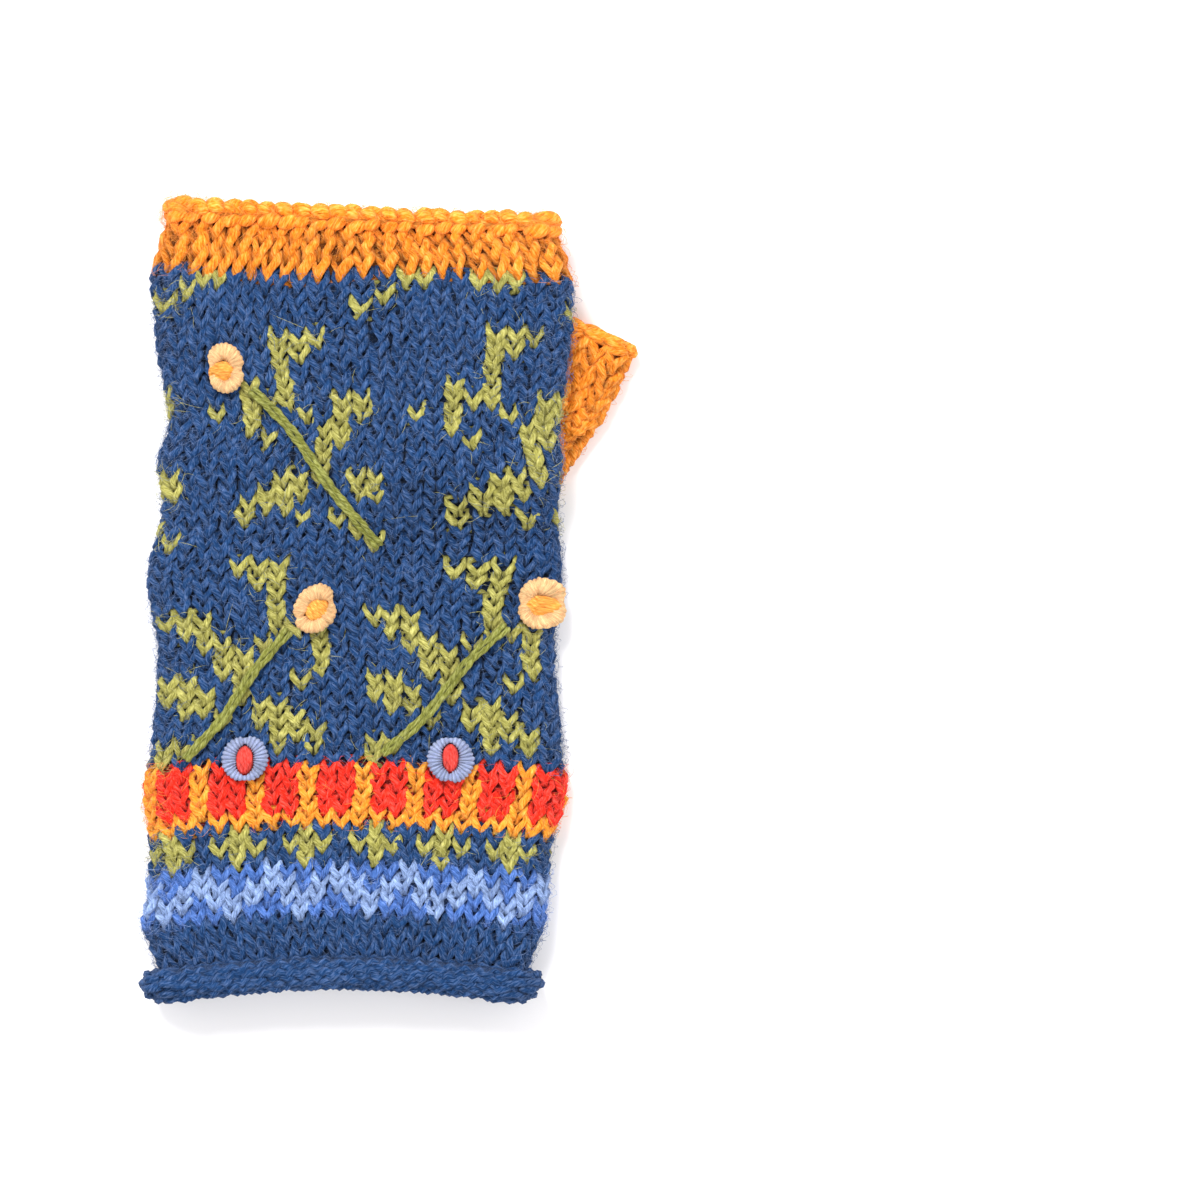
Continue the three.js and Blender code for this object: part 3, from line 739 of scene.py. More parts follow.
def weld(piece, gap=1e-7):
    """Joins vertices in the same place and clears the faces that have no area left."""
    mesh = bmesh.new()
    mesh.from_mesh(piece.data)
    bmesh.ops.remove_doubles(mesh, verts=mesh.verts, dist=gap)
    bmesh.ops.dissolve_degenerate(mesh, edges=mesh.edges, dist=gap)
    loose = [vertex for vertex in mesh.verts if not vertex.link_faces]
    bmesh.ops.delete(mesh, geom=loose, context="VERTS")
    mesh.to_mesh(piece.data)
    mesh.free()


def wool(name, main, sheen, contrast=1.0):
    """Wool yarn: fibres streak along it, in deeper and paler shades, over a slow twist.

    It is darkened by painted shade, read from a vertex attribute, in the depths between the loops;
    below zero the attribute paints light instead.
    """
    material = bpy.data.materials.new(name)
    material.use_nodes = True
    nodes, links = material.node_tree.nodes, material.node_tree.links
    nodes.clear()
    output = nodes.new("ShaderNodeOutputMaterial")
    shader = nodes.new("ShaderNodeBsdfPrincipled")
    links.new(shader.outputs[0], output.inputs["Surface"])
    shader.inputs["Roughness"].default_value = 0.9
    shader.inputs["Specular IOR Level"].default_value = 0.12
    shader.inputs["Sheen Weight"].default_value = sheen
    shader.inputs["Sheen Roughness"].default_value = 0.4
    main = np.array(main[:3])
    pale = np.clip(main * (1 + 0.7 * contrast) + 0.085 * contrast, 0, 1)
    deep = main ** (1 + 0.15 * contrast) * (1 - 0.5 * contrast)
    shader.inputs["Sheen Tint"].default_value = (*(0.4 + 0.6 * pale), 1)

    def math_node(operation, first, second):
        node = nodes.new("ShaderNodeMath")
        node.operation = operation
        for socket, value in zip(node.inputs, (first, second)):
            if isinstance(value, (int, float)):
                socket.default_value = value
            elif value is not None:
                links.new(value, socket)
        return node.outputs[0]

    yarn = nodes.new("ShaderNodeUVMap")
    yarn.uv_map = "yarn"
    split = nodes.new("ShaderNodeSeparateXYZ")
    links.new(yarn.outputs["UV"], split.inputs[0])
    along, turns = split.outputs["X"], split.outputs["Y"]
    angle = math_node("MULTIPLY", turns, 2 * math.pi)
    spin = math_node("ADD", angle, math_node("MULTIPLY", along, YARN_TWIST))
    round_yarn = nodes.new("ShaderNodeCombineXYZ")
    links.new(math_node("MULTIPLY", along, 0.3), round_yarn.inputs["X"])
    links.new(math_node("COSINE", spin, None), round_yarn.inputs["Y"])
    links.new(math_node("SINE", spin, None), round_yarn.inputs["Z"])
    place = nodes.new("ShaderNodeTexCoord").outputs["Object"]

    def noise(scale, detail, vector):
        node = nodes.new("ShaderNodeTexNoise")
        node.inputs["Scale"].default_value = scale
        node.inputs["Detail"].default_value = detail
        node.inputs["Roughness"].default_value = 0.6
        links.new(vector, node.inputs["Vector"])
        return node.outputs["Fac"]

    fibres = noise(4.2, 4.0, round_yarn.outputs[0])
    streaks = noise(1.9, 1.0, round_yarn.outputs[0])
    shades = nodes.new("ShaderNodeValToRGB")
    ramp = shades.color_ramp.elements
    ramp[0].position, ramp[0].color = 0.34, (*deep, 1)
    ramp[1].position, ramp[1].color = 0.68, (*pale, 1)
    middle = ramp.new(0.48)
    middle.color = (*main, 1)
    links.new(
        math_node("ADD", math_node("MULTIPLY", fibres, 0.5), math_node("MULTIPLY", streaks, 0.5)),
        shades.inputs["Fac"],
    )
    patches = noise(PATCH_SCALE, 2.0, place)
    uneven = nodes.new("ShaderNodeHueSaturation")
    links.new(shades.outputs["Color"], uneven.inputs["Color"])
    # Painted shade: the vertex attribute darkens the colour in the depths between the loops, and
    # below zero lightens it.
    depth = nodes.new("ShaderNodeAttribute")
    depth.attribute_name = "hollow"
    darker = math_node("MULTIPLY", depth.outputs["Fac"], HOLLOW_SHADE)
    shade = math_node("SUBTRACT", 1.0, darker)
    level = math_node("ADD", math_node("MULTIPLY", patches, 1.0), 0.5)
    links.new(math_node("MULTIPLY", level, shade), uneven.inputs["Value"])
    links.new(uneven.outputs["Color"], shader.inputs["Base Color"])

    twist = math_node("SINE", math_node("ADD", math_node("MULTIPLY", spin, 2.0), 0.7), None)
    relief = math_node("ADD", math_node("MULTIPLY", twist, 0.12), fibres)
    relief = math_node("ADD", relief, math_node("MULTIPLY", streaks, 0.8))
    bump = nodes.new("ShaderNodeBump")
    bump.inputs["Strength"].default_value = 1.0
    bump.inputs["Distance"].default_value = FIBRE_RELIEF
    links.new(relief, bump.inputs["Height"])
    links.new(bump.outputs["Normal"], shader.inputs["Normal"])
    return material


def fibre(name, main):
    """A loose fibre: paler than its yarn, in shades that change from place to place."""
    material = bpy.data.materials.new(name)
    material.use_nodes = True
    nodes, links = material.node_tree.nodes, material.node_tree.links
    shader = nodes["Principled BSDF"]
    shader.inputs["Roughness"].default_value = 0.7
    shader.inputs["Specular IOR Level"].default_value = 0.2
    main = np.array(main[:3])
    place = nodes.new("ShaderNodeTexCoord")
    patches = nodes.new("ShaderNodeTexNoise")
    patches.inputs["Scale"].default_value = 1.3 / MM
    patches.inputs["Detail"].default_value = 1.0
    links.new(place.outputs["Object"], patches.inputs["Vector"])
    shades = nodes.new("ShaderNodeValToRGB")
    ramp = shades.color_ramp.elements
    ramp[0].position, ramp[0].color = 0.38, (*(0.8 * main + 0.03), 1)
    pale = (0.08 + 0.2 * (1 - main.max())) * (0.6 + 0.4 * main / main.max())
    ramp[1].position, ramp[1].color = 0.6, (*np.clip(1.3 * main + pale, 0, 1), 1)
    links.new(patches.outputs["Fac"], shades.inputs["Fac"])
    links.new(shades.outputs["Color"], shader.inputs["Base Color"])
    return material


WOOLS = {
    ".": "navy", "g": "green", "y": "yellow", "r": "red", "b": "royal", "l": "light_blue",
    "o": "orange", "p": "peach", "s": "stem", "c": "centre", "k": "red_centre",
    "u": "petal_blue",
}


def wool_set(letters, kind="wool"):
    """Materials for a string of chart letters, made once: wool, backing or fibre."""
    colours = bpy.context.scene.hand_warmer_colours
    sizes = bpy.context.scene.hand_warmer_sizes
    made = []
    for letter in letters:
        title = f"{kind}_{WOOLS[letter]}"
        colour = np.array(getattr(colours, WOOLS[letter]))
        found = bpy.data.materials.get(title)
        if not found and kind == "fibre":
            found = fibre(title, colour)
        # The backing kind: the yarn's colour at 0.16, painted shade in the gaps between the loops.
        if not found and kind == "backing":
            found = wool(title, 0.16 * colour, 0.0, 0.5)
        made.append(found or wool(title, colour, sizes.sheen))
    return made


# Name, fabric, foot, pitch, letters and phase of each knitted band, for its loose fibres.
KNITTED = []


def knit_band(name, nodes, fabric, foot, pitch, chart, stitches, phase, **options):
    """Rounds of stocking stitch as closed yarn rings, coloured stitch by stitch from a chart.

    The band stands in the place of the named nodes of the frame.

    Options: shift of the chart in stitches, girth of the yarn and depth of a loop in mm, plump
    for how much thicker the legs are than the heads, skew for how much plumper every second
    leg is, swing for how far the legs lean, reach for the height of a loop, reverse where the
    back of the fabric shows, which turns the painted shade over, the option for painted shade
    with the heights in mm between which it fades out on the yarn, and drop, a test for
    cut-away places.
    """
    look = stitch_look(options)
    drop = look["drop"]
    letters = chart_letters(chart, stitches, look["shift"])
    centre, normal, radius, lift = loop_paths(
        fabric, foot, pitch, letters.shape, phase, look, stitch_seed(name)
    )
    if drop is not None:
        radius = np.where(drop(centre), 0.0, radius)
    points, quads, uv, path, step = swept_tubes(centre, normal, radius, closed=True)
    used = sorted(set(letters.ravel()))
    index = np.searchsorted(used, letters[path, step // LOOP_STEPS])
    piece = add_piece(name, points, quads, wool_set(used), index, uv)
    # Painted shade: yarn that lies low in the fabric, between the loops, is darkened.
    corner = np.arange(YARN_SIDES) * 2 * math.pi / YARN_SIDES
    height = lift[..., None] + radius[..., None] * np.cos(corner)
    side = -1 if look["reverse"] else 1
    hollow = 1 - smoothstep(side * height, *look["hollow"])
    set_hollow(piece, hollow.ravel())
    if drop is not None:
        weld(piece)
    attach(piece, "root")
    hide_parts(*nodes)
    KNITTED.append((name, fabric, foot, pitch, letters, phase))
    return piece


def backing(name, fabric, low, high, thickness, letters, shares=132, drop=None, kind="backing"):
    """A thin closed wall inside the stitches, between two heights about the fabric's middle."""
    rows = max(4, int((high - low) / BACKING_ROW))
    up = np.concatenate((np.linspace(low, high, rows), np.linspace(high, low, rows)))
    faces = np.concatenate((np.full(rows, thickness / 2), np.full(rows, -thickness / 2)))
    share = np.arange(shares) / shares - 0.5
    up, share_grid = np.meshgrid(up, share, indexing="ij")
    lift = np.repeat((faces + BACKING_LIFT)[:, None], shares, axis=1)
    if drop is not None:
        gone = drop(fabric(share_grid, up, 0 * up))
        lift = np.where(gone, 0.0, lift)
    points = fabric(share_grid, up, lift)
    quads = grid_quads(2 * rows, shares)
    if drop is not None:
        flat = gone.ravel()
        quads = quads[~flat[quads].all(axis=1)]
    corner_up = up.ravel()[quads].reshape(-1)
    corner_share = (share_grid.ravel()[quads] * 60).reshape(-1)
    uv = np.stack((corner_up * 3.1, corner_share), axis=-1)
    # Unless kind is wool, the wall stands for the back of the fabric, coloured as painted shade
    # between the loops.
    piece = add_piece(name, points.reshape(-1, 3), quads, wool_set(letters, kind), None, uv)
    if drop is not None:
        weld(piece)
    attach(piece, "root")
    return piece


def rim_chain(name, rim, radius, stitches, letter, middle, spread, girth):
    """A bound-off edge: pairs of plump slanted legs that follow each other along the rim.

    Each leg is a tapered tube from one side of the chain to its middle, a bit over one stitch
    long. middle and spread are degrees round the rim's section, girth a share of its radius.
    """
    steps, seed = 9, stitch_seed(name)
    t = np.linspace(0, 1, steps)
    stitch = np.arange(stitches)[:, None]
    paths = []
    for side in (-1, 1):
        wobble = seed.normal(size=(4, stitches, 1))
        reach = 1.15 + 0.12 * wobble[3]
        share = (stitch + reach * t + 0.08 * wobble[0]) / stitches - 0.5
        turn = math.radians(middle) + side * math.radians(spread) * (1.0 - 0.85 * t)
        turn = turn + 0.1 * wobble[1]
        lift = radius * (0.72 + 0.2 * np.sin(math.pi * t) + 0.07 * wobble[2])
        size = girth * radius * (1 + 0.1 * wobble[3]) * np.sin(math.pi * t) ** 0.55
        paths.append([part + 0 * share for part in (share, turn, lift, size)])
    share, turn, lift, size = (np.concatenate(part) for part in zip(*paths))
    centre = above_table(rim(share, turn, lift), size)
    normal = unit(rim(share, turn, lift + 0.2) - rim(share, turn, lift - 0.2))
    legs, quads, uv, _, _ = swept_tubes(centre, normal, size, closed=False, sides=8)
    piece = add_piece(name, legs, quads, wool_set(letter), None, uv)
    # Painted light: the whole chain is brightened.
    set_hollow(piece, RIM_PAINTED_LIGHT)
    weld(piece)
    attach(piece, "root")
    return piece


def rim_core(name, rim, radius, letter, turns=12, shares=120):
    """The rope of fabric under the bound-off chain: a ring with a round section."""
    turn, share = np.meshgrid(
        np.arange(turns) * 2 * math.pi / turns, np.arange(shares) / shares - 0.5, indexing="ij"
    )
    points = rim(share, turn, 0.86 * radius + 0 * turn)
    quads = grid_quads(turns, shares)
    uv = np.stack(
        ((share.ravel()[quads] * 210).ravel(), (turn.ravel()[quads] / (2 * math.pi)).ravel()), -1
    )
    piece = add_piece(name, points.reshape(-1, 3), quads, wool_set(letter), None, uv)
    # Painted shade: the whole rope under the chain is darkened.
    set_hollow(piece, CORE_PAINTED_SHADE)
    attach(piece, "root")
    return piece


def in_slit(points):
    """True where the palm is cut away for the root of the thumb tube."""
    x, y, z = np.moveaxis(points - OFFSET, -1, 0)
    _, _, _, half = thumb_section(0.0)
    return (
        (np.abs(x - SLIT_X) < half)
        & (y > SLIT_Y - 0.5)
        & (y < SLIT_Y + SLIT_RISE + 1.5)
        & (z < THUMB_HEIGHT)
    )


# Operators.


def length_property(name, description, usual, least, most):
    """A length setting from values in mm."""
    return FloatProperty(
        name=name, description=description, default=usual * MM, min=least * MM, max=most * MM,
        unit="LENGTH", precision=6,
    )


class HandWarmerSizes(PropertyGroup):
    """Sizes of the yarn and its fibres."""

    yarn_radius: length_property(
        "Yarn radius", "Half the thickness of the yarn in a stitch", 0.88, 0.3, 2
    )
    loop_depth: length_property(
        "Loop depth", "How far a stitch stands before and behind the fabric", 0.75, 0, 2
    )
    sheen: FloatProperty(
        name="Sheen", description="Soft light on the fibres at the edges of the yarn",
        default=0.12, min=0, max=1, subtype="FACTOR",
    )
    stem_radius: length_property(
        "Stem strand radius", "Half the thickness of a strand of a stem", 0.74, 0.2, 1.2
    )
    fibre_radius: length_property(
        "Fibre radius", "Half the thickness of a loose fibre", 0.042, 0.01, 0.1
    )
    fibre_length: length_property(
        "Fibre length", "Usual length of a loose fibre", 3.0, 0.5, 10
    )
    fibres: IntProperty(
        name="Loose fibres", description="Loose fibres on a hundred stitches",
        default=850, min=0, max=1000,
    )


def colour_property(name, description, *display):
    """A colour setting from display values of 0 to 255."""
    return FloatVectorProperty(
        name=name, description=description, subtype="COLOR", size=3, min=0, max=1,
        default=srgb(*display),
    )


class HandWarmerColours(PropertyGroup):
    """Colours of the yarns."""

    navy: colour_property("Navy", "Ground of the hand", 26, 63, 110)
    green: colour_property("Green", "Vine pattern", 158, 153, 78)
    yellow: colour_property("Yellow", "Thin columns of the block band", 246, 148, 42)
    red: colour_property("Red", "Blocks above the wrist", 242, 44, 24)
    royal: colour_property("Royal blue", "Darker blue of the wave band", 66, 103, 172)
    light_blue: colour_property("Light blue", "Lighter blue of the wave band", 130, 154, 200)
    orange: colour_property("Orange", "Fingers and thumb", 240, 134, 34)
    peach: colour_property("Peach", "Petals", 255, 190, 134)
    petal_blue: colour_property("Petal blue", "Petals", 166, 178, 226)
    centre: colour_property("Orange centre", "Middles of the peach flowers", 255, 160, 66)
    red_centre: colour_property("Red centre", "Middles of the blue flowers", 244, 66, 56)
    stem: colour_property("Stem", "Stems", 124, 126, 54)


class HANDWARMER_OT_wrist(Operator):
    """Knit the rolled wrist and the three patterned bands above it."""

    bl_idname = "hand_warmer.wrist"
    bl_label = "Wrist bands"

    def execute(self, context):
        wall = WRIST_LENGTH - ROLL_RADIUS
        knit_band(
            "knit_roll", ["wrist_roll"], wrist_fabric, -ROLL_LENGTH, ROLL_LENGTH / ROLL_ROUNDS,
            ["."] * ROLL_ROUNDS, WRIST_STITCHES, WRIST_PHASE, plump=-0.08, depth=0.85,
            girth=1.06, swing=0.28, reach=0.82, reverse=True, hollow=(-0.1, 1.8),
        )
        knit_band(
            "knit_wrist", ["wrist_roll"], wrist_fabric, 0, wall / PLAIN_ROUNDS,
            ["."] * PLAIN_ROUNDS, WRIST_STITCHES, WRIST_PHASE,
        )
        backing(
            "backing_roll", wrist_fabric, 0.3 - ROLL_LENGTH, 0, ROLL_BACKING_THICKNESS, ".",
            kind="wool",
        )
        backing("backing_wrist", wrist_fabric, 0.1, wall, BACKING_THICKNESS, ".")
        rounds = 0
        for name, chart, under, shift in WRIST_BANDS:
            foot = WRIST_LENGTH + rounds * ROW_HEIGHT
            rounds += len(chart)
            top = WRIST_LENGTH + rounds * ROW_HEIGHT
            knit_band(
                f"knit_{name}", [f"{name}_band"], hand_fabric, foot, ROW_HEIGHT, chart,
                WRIST_STITCHES, WRIST_PHASE, shift=shift,
            )
            backing(f"backing_{name}", hand_fabric, foot, top, BACKING_THICKNESS, under)
        return {"FINISHED"}


class HANDWARMER_OT_hand(Operator):
    """Knit the hand in two lengths from its vine chart."""

    bl_idname = "hand_warmer.hand"
    bl_label = "Hand"

    def execute(self, context):
        foot = WRIST_LENGTH + sum(len(chart) for _, chart, _, _ in WRIST_BANDS) * ROW_HEIGHT
        top = HAND_LENGTH - FINGER_LENGTH
        pitch = (top - foot) / len(HAND_CHART)
        half = len(HAND_CHART) // 2
        knit_band(
            "knit_hand_lower", ["hand_body"], hand_fabric, foot, pitch, HAND_CHART[half:],
            HAND_STITCHES, HAND_PHASE, shift=HAND_SHIFT, drop=in_slit,
        )
        knit_band(
            "knit_hand_upper", ["hand_body"], hand_fabric, foot + half * pitch, pitch,
            HAND_CHART[:half], HAND_STITCHES, HAND_PHASE, shift=HAND_SHIFT, drop=in_slit,
        )
        backing("backing_hand", hand_fabric, foot, top, BACKING_THICKNESS, ".", drop=in_slit)
        return {"FINISHED"}


class HANDWARMER_OT_fingers(Operator):
    """Knit the orange edge at the fingers and its bound-off rim."""

    bl_idname = "hand_warmer.fingers"
    bl_label = "Finger edge"

    def execute(self, context):
        foot = HAND_LENGTH - FINGER_LENGTH
        top = HAND_LENGTH - RIM_FOOT * RIM_RADIUS
        knit_band(
            "knit_fingers", ["finger_band"], hand_fabric, foot, (top - foot) / FINGER_ROUNDS,
            ["o"] * FINGER_ROUNDS, HAND_STITCHES, HAND_PHASE, girth=1.0, skew=0.24,
            hollow=(0.0, 1.9),
        )
        backing("backing_fingers", hand_fabric, foot, top, BACKING_THICKNESS, "o")
        rim_core("finger_rim_core", hand_rim, RIM_RADIUS, "o")
        rim_chain("finger_rim_front", hand_rim, RIM_RADIUS, HAND_STITCHES, "o", -10, 82, 0.78)
        rim_chain("finger_rim_back", hand_rim, RIM_RADIUS, HAND_STITCHES, "o", 125, 50, 0.72)
        girdle = math.pi * RIM_RADIUS / 3
        letters = np.full((3, HAND_STITCHES), "o")
        KNITTED.append(("finger_rim", over_finger_rim, -girdle, girdle, letters, HAND_PHASE))
        return {"FINISHED"}


class HANDWARMER_OT_thumb(Operator):
    """Knit the thumb tube and its rim."""

    bl_idname = "hand_warmer.thumb"
    bl_label = "Thumb"

    def execute(self, context):
        rounds, stitches = THUMB_ROUNDS, THUMB_STITCHES
        top = THUMB_LENGTH - RIM_FOOT * THUMB_RIM_RADIUS
        knit_band(
            "knit_thumb", ["thumb_tube"], thumb_fabric, THUMB_FOOT, (top - THUMB_FOOT) / rounds,
            ["o"] * rounds, stitches, -0.5, girth=1.3, hollow=(-0.2, 1.9),
        )
        backing(
            "backing_thumb", thumb_fabric, THUMB_FOOT, top, BACKING_THICKNESS, "o", shares=72
        )
        rim_core("thumb_rim_core", thumb_rim, THUMB_RIM_RADIUS, "o", shares=72)
        rim_chain("thumb_rim_top", thumb_rim, THUMB_RIM_RADIUS, 14, "o", 75, 36, 0.86)
        rim_chain("thumb_rim_front", thumb_rim, THUMB_RIM_RADIUS, 14, "o", -28, 56, 0.86)
        return {"FINISHED"}


class HANDWARMER_OT_flowers(Operator):
    """Embroider the five ring-shaped flowers with their padded middles."""

    bl_idname = "hand_warmer.flowers"
    bl_label = "Flowers"

    def execute(self, context):
        for name, across, along, wide, tall, degrees in FLOWERS:
            blue = name.startswith("blue")
            seed = stitch_seed(name)
            wide, tall = wide * FLOWER_WIDTH, tall * FLOWER_WIDTH
            turn = math.radians(degrees)

            def place(right, up, height):
                """A place in the turned flower, in mm from its middle and from the back."""
                x = across * HALF_WIDTH + right * math.cos(turn) - up * math.sin(turn)
                y = along * HAND_LENGTH + right * math.sin(turn) + up * math.cos(turn)
                return back_point(x, y, height)

            self.petals(name, blue, place, seed, wide, tall)
            self.button(name, blue, place)
        return {"FINISHED"}

    def petals(self, name, blue, place, seed, wide, tall):
        """A ring with an oval section, whose radius swells over each of its wraps of yarn.

        It narrows, by bell-shaped dips, where the two knots that it is made of meet.
        """
        shape = dict(zip(PETAL_COLUMNS, PETALS[name]))
        wrap_look = dict(zip(WRAP_COLUMNS, WRAPS["blue" if blue else "peach"]))
        wraps, per_wrap, sides = wrap_look["wraps"], 8, 16
        steps = wraps * per_wrap
        around = np.arange(steps) * 2 * math.pi / steps
        turn = np.arange(sides) * 2 * math.pi / sides
        wrap = np.arange(steps) // per_wrap
        ridge = np.abs(np.sin((np.arange(steps) % per_wrap + 0.5) * math.pi / per_wrap)) ** 0.8
        size = 0.78 + wrap_look["swell"] * ridge + 0.03 * seed.normal(size=wraps)[wrap]
        gape = shape["gape"]
        dips = ((shape["closed"], 0.17, 0.45), (shape["opened"], 0.2 + 0.6 * gape, 0.3 + gape))
        for degrees, width, depth in dips:
            away = (around - math.radians(degrees) + math.pi) % (2 * math.pi) - math.pi
            size = size * (1 - depth * np.exp(-((away / width) ** 2)))
        end = np.where(np.sin(around) > 0, shape["top"], shape["bottom"])
        girth = shape["side"] + (end - shape["side"]) * np.sin(around) ** 2
        out = (girth * size)[:, None] * np.cos(turn)
        middle = girth[:, None]
        up = (girth * size)[:, None] * np.sin(turn) * PETAL_FLATTEN
        up = PETAL_FOOT + PETAL_HEIGHT / 2 + up
        right = (wide / 2 - middle + out) * np.cos(around)[:, None]
        ahead = (tall / 2 - middle + out) * np.sin(around)[:, None]
        points = place(right, ahead, up)
        row, column = np.meshgrid(np.arange(steps), np.arange(sides), indexing="ij")
        corner_turn = np.stack((column, column, column + 1, column + 1), axis=-1) / sides
        corner_wrap = np.stack((row, row + 1, row + 1, row), axis=-1) / per_wrap
        strand = np.repeat(11 * row.ravel() // per_wrap, 4)
        uv = np.stack((9 * corner_turn.ravel() + strand, corner_wrap.ravel()), axis=-1)
        piece = add_piece(
            f"petals_{name}_yarn", points.reshape(-1, 3), grid_quads(steps, sides, flipped=True),
            wool_set("u" if blue else "p"), None, uv,
        )
        # Painted shade darkens the grooves between the wraps; on the peach petals the crests are
        # painted light.
        groove_shade = (1 - ridge) * wrap_look["groove_shade"] + wrap_look["crest_shade"]
        set_hollow(piece, np.repeat(groove_shade, sides))
        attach(piece, "root")
        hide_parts(f"petals_{name}")

    def button(self, name, blue, place):
        """An oval dome of parallel strands: a quarter sine in plan, a root of cosine in height."""
        rings, steps = 18, 72
        shape = dict(zip(PETAL_COLUMNS, PETALS[name]))
        shift_right, shift_up = shape["right"], shape["up"]
        level = np.linspace(0, 1, rings)[:, None]
        around = np.arange(steps) * 2 * math.pi / steps
        right = shape["half_wide"] * np.sin(level * math.pi / 2) * np.cos(around)
        up = shape["half_tall"] * np.sin(level * math.pi / 2) * np.sin(around)
        dome = (BUTTON_HEIGHT + BUTTON_FOOT) * np.cos(level * math.pi / 2) ** 0.6
        height = BUTTON_FOOT + dome + 0 * around
        across = right if blue else up + 0.35 * right
        strand = np.abs(np.sin(across * math.pi / BUTTON_STRAND)) ** 0.8
        bumps = np.sin(2.9 * right + 1.0) * np.sin(2.3 * up + 0.6)
        height = height + (0.42 * strand + 0.22 * bumps) * (1 - level**4)
        points = place(right + shift_right, up + shift_up, height)
        quads = grid_quads(rings, steps, closed_rows=False, flipped=True)
        under = place(np.array((shift_right,)), np.array((shift_up,)), np.array((0.05,)))
        points = np.concatenate((points.reshape(-1, 3), under))
        rim = (rings - 1) * steps + np.arange(steps)
        tris = np.stack((np.full(steps, rings * steps), np.roll(rim, -1), rim), axis=-1)
        flat = np.concatenate((quads.ravel(), tris.ravel()))
        corner = np.concatenate((np.stack((up, right), -1).reshape(-1, 2), ((0.0, 0.0),)))[flat]
        if not blue:
            corner = corner[:, ::-1]
        uv = np.stack((corner[:, 0], corner[:, 1] / 2.3), axis=-1)
        piece = add_piece(
            f"button_{name}_yarn", points, quads, wool_set("k" if blue else "c"), None, uv, tris
        )
        weld(piece)
        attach(piece, "root")
        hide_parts(f"button_{name}")


class HANDWARMER_OT_stems(Operator):
    """Embroider the stems, each of two strands laid round each other."""

    bl_idname = "hand_warmer.stems"
    bl_label = "Stems"

    def execute(self, context):
        radius = context.scene.hand_warmer_sizes.stem_radius / MM
        for name, path in STEMS:
            steps = 120
            knots = np.array(path) * (HALF_WIDTH, HAND_LENGTH)
            t = np.linspace(0, len(knots) - 1, steps)
            plan = np.stack([smooth_curve(knots[:, axis], t) for axis in (0, 1)], axis=-1)
            ahead = unit(np.gradient(plan, axis=0))
            aside = np.stack((ahead[:, 1], -ahead[:, 0]), axis=-1)
            spans = np.linalg.norm(np.diff(plan, axis=0), axis=1)
            length = np.concatenate(((0,), np.cumsum(spans)))
            rows = []
            for half_turn in (0, math.pi):
                spin = 0.5 * np.sin(length * 2 * math.pi / STEM_SWAY) + half_turn
                offset = 0.85 * radius * np.cos(spin) + 0.12 * np.sin(length * 0.9 + half_turn)
                height = STEM_FOOT + radius + 0.6 * radius * np.sin(spin)
                place = plan + aside * offset[:, None]
                rows.append(back_point(place[:, 0], place[:, 1], height))
            centre = np.stack(rows)
            up = np.broadcast_to(np.array((0.0, 0.0, 1.0)), centre.shape)
            ends = np.minimum(1, np.sqrt(np.minimum(length, length[-1] - length) / radius))
            girth = radius * (1 + 0.12 * np.sin(length * 2.3)) * ends
            points, quads, uv, _, _ = swept_tubes(
                centre, up, np.repeat(girth[None, :], 2, axis=0), closed=False, sides=10
            )
            piece = add_piece(f"{name}_yarn", points, quads, wool_set("s"), None, uv)
            weld(piece)
            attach(piece, "root")
            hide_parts(name)
        return {"FINISHED"}


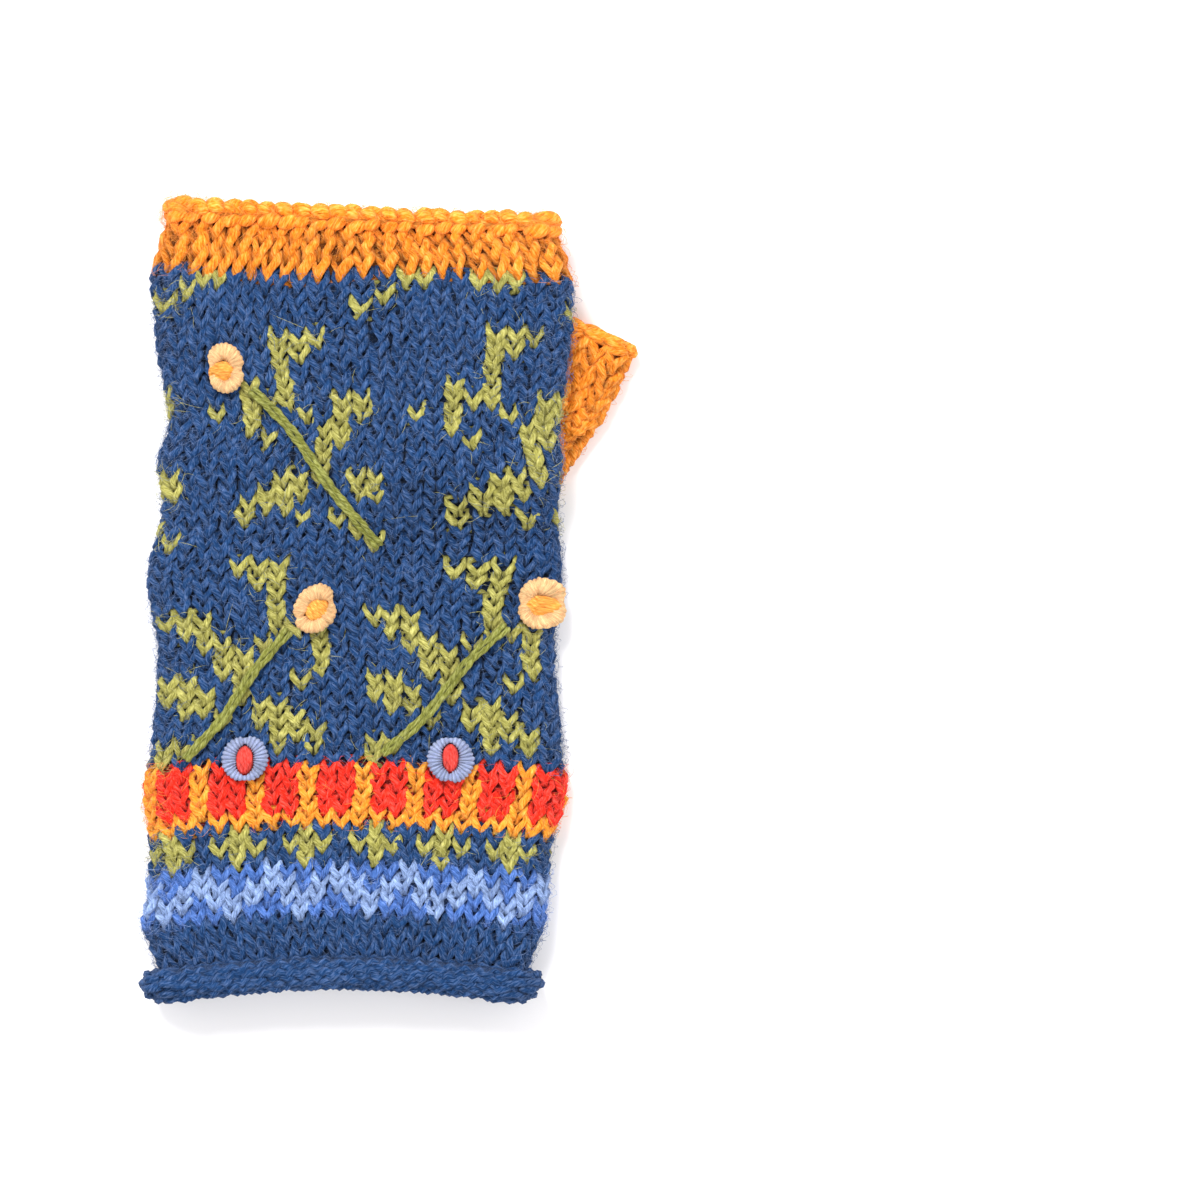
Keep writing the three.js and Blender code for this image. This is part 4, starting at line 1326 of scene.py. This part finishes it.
class HANDWARMER_OT_fibres(Operator):
    """Raise loose fibres from the yarn of every knitted band."""

    bl_idname = "hand_warmer.fibres"
    bl_label = "Loose fibres"

    def execute(self, context):
        for band in KNITTED:
            self.raise_fibres(context.scene.hand_warmer_sizes, *band)
        return {"FINISHED"}

    def raise_fibres(self, sizes, name, fabric, foot, pitch, letters, phase):
        """Thin tapered tubes along short arcs that leave the yarn, drift and lie down again.

        Some more of them grow near the folds, where they show against the table.
        """
        seed = stitch_seed(f"fibres_{name}")
        rounds, stitches = letters.shape
        count = rounds * stitches * sizes.fibres // 100
        row = seed.integers(0, rounds, count)
        stitch = seed.integers(0, stitches, count)
        fold = stitches // 4 + stitches // 2 * seed.integers(0, 2, count)
        near = fold + np.rint(0.8 * seed.normal(size=count)).astype(int)
        stitch = np.where(seed.random(count) < FOLD_FIBRES, near % stitches, stitch)
        t = np.linspace(0, 1, len(FIBRE_TAPER))
        length = sizes.fibre_length / MM * np.exp(FIBRE_SPREAD * seed.normal(size=(count, 1)))
        bearing = seed.uniform(0, 2 * math.pi, (count, 1))
        curl = seed.normal(size=(count, 1)) * FIBRE_CURL
        bearing = bearing + curl * (t - 0.5)
        steps = length / (len(t) - 1)
        right = np.cumsum(steps * np.cos(bearing), axis=1)
        ahead = np.cumsum(steps * np.sin(bearing), axis=1)
        rise = 0.25 + 1.0 * np.abs(seed.normal(size=(count, 1)))
        arc = rise * np.sin(math.pi * np.minimum(t * 0.8, 0.8))
        lift = FIBRE_FOOT + arc + 0.12 * seed.normal(size=(count, len(t)))
        girth = sizes.fibre_radius / MM * seed.uniform(0.7, 1.3, (count, 1))
        girth = girth * np.array(FIBRE_TAPER)
        start, end = fabric(np.array((0.0, 1 / stitches)), foot + 0 * t[:2], 0.0)
        wide = np.linalg.norm(end - start)
        share = (stitch[:, None] + seed.uniform(0, 1, (count, 1)) + right / wide) / stitches
        up = foot + pitch * (row[:, None] + seed.uniform(0, 1, (count, 1))) + ahead
        up = np.clip(up, foot - FIBRE_PAST, foot + pitch * rounds + FIBRE_PAST)
        surface = fabric(share + phase, up, lift)
        out = unit(fabric(share + phase, up, lift + 0.4) - surface)
        centre = above_table(surface, girth)
        points, quads, uv, path, _ = swept_tubes(centre, out, girth, closed=False, sides=3)
        used = sorted(set(letters.ravel()))
        index = np.searchsorted(used, letters[row, stitch][path])
        piece = add_piece(f"fibres_{name}", points, quads, wool_set(used, "fibre"), index, uv)
        weld(piece)
        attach(piece, "root")


def smooth_curve(knots, t):
    """A cubic curve through knots at whole values of t."""
    table = np.stack((np.arange(len(knots)) * 1.0, knots), axis=-1)
    return along_table(table, ("at", "value"), "value", t)


class HANDWARMER_OT_stage(Operator):
    """Set up the floor, the lights and the camera."""

    bl_idname = "hand_warmer.stage"
    bl_label = "Stage"

    def execute(self, context):
        scene = context.scene
        size = FLOOR_HALF
        mesh = bpy.data.meshes.new("floor")
        mesh.from_pydata(
            [(-size, -size, 0), (size, -size, 0), (size, size, 0), (-size, size, 0)],
            [], [(0, 1, 2, 3)],
        )
        floor = bpy.data.objects.new("floor", mesh)
        material = bpy.data.materials.new("pale_floor")
        material.use_nodes = True
        shader = material.node_tree.nodes["Principled BSDF"]
        shader.inputs["Base Color"].default_value = FLOOR_COLOUR
        shader.inputs["Roughness"].default_value = 0.9
        shader.inputs["Specular IOR Level"].default_value = 0.0
        mesh.materials.append(material)
        scene.collection.objects.link(floor)

        for name, place, width, power in LIGHTS:
            lamp = bpy.data.lights.new(name, "AREA")
            lamp.shape = "DISK"
            lamp.size = width
            lamp.energy = power
            light = bpy.data.objects.new(name, lamp)
            light.location = place
            aim = -np.array(place)
            yaw = math.atan2(aim[1], aim[0]) - math.pi / 2
            tip = math.atan2(math.hypot(aim[0], aim[1]), -aim[2])
            light.rotation_euler = (tip, 0, yaw)
            scene.collection.objects.link(light)

        world = bpy.data.worlds.new("sky")
        world.use_nodes = True
        sky = world.node_tree.nodes["Background"]
        sky.inputs["Color"].default_value = (1, 1, 1, 1)
        sky.inputs["Strength"].default_value = SKY_LIGHT
        scene.world = world

        camera_data = bpy.data.cameras.new("camera")
        camera_data.sensor_width = 36
        camera_data.lens = CAMERA_LENS
        camera = bpy.data.objects.new("camera", camera_data)
        camera.location = CAMERA_PLACE
        scene.collection.objects.link(camera)
        scene.camera = camera
        scene.view_settings.view_transform = "Standard"
        return {"FINISHED"}


class HANDWARMER_PT_panel(Panel):
    """Sizes, colours and building steps in the sidebar."""

    bl_label = "Hand warmer"
    bl_idname = "HANDWARMER_PT_panel"
    bl_space_type = "VIEW_3D"
    bl_region_type = "UI"
    bl_category = "Hand warmer"

    def draw(self, context):
        for group in (context.scene.hand_warmer_sizes, context.scene.hand_warmer_colours):
            for name in group.__annotations__:
                self.layout.prop(group, name)
        for step in OPERATORS:
            self.layout.operator(step.bl_idname)


OPERATORS = (
    HANDWARMER_OT_wrist,
    HANDWARMER_OT_hand,
    HANDWARMER_OT_fingers,
    HANDWARMER_OT_thumb,
    HANDWARMER_OT_flowers,
    HANDWARMER_OT_stems,
    HANDWARMER_OT_fibres,
    HANDWARMER_OT_stage,
)
CLASSES = (HandWarmerSizes, HandWarmerColours, *OPERATORS, HANDWARMER_PT_panel)


def register():
    """Adds the classes and the scene's two groups of settings."""
    for item in CLASSES:
        bpy.utils.register_class(item)
    bpy.types.Scene.hand_warmer_sizes = PointerProperty(type=HandWarmerSizes)
    bpy.types.Scene.hand_warmer_colours = PointerProperty(type=HandWarmerColours)


def unregister():
    """Takes them out again."""
    del bpy.types.Scene.hand_warmer_colours
    del bpy.types.Scene.hand_warmer_sizes
    for item in reversed(CLASSES):
        bpy.utils.unregister_class(item)


def main():
    """Builds the hand warmer and its stage."""
    register()
    bpy.ops.hand_warmer.wrist()
    bpy.ops.hand_warmer.hand()
    bpy.ops.hand_warmer.fingers()
    bpy.ops.hand_warmer.thumb()
    bpy.ops.hand_warmer.flowers()
    bpy.ops.hand_warmer.stems()
    bpy.ops.hand_warmer.fibres()
    bpy.ops.hand_warmer.stage()
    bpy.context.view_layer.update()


if __name__ == "__main__":
    main()
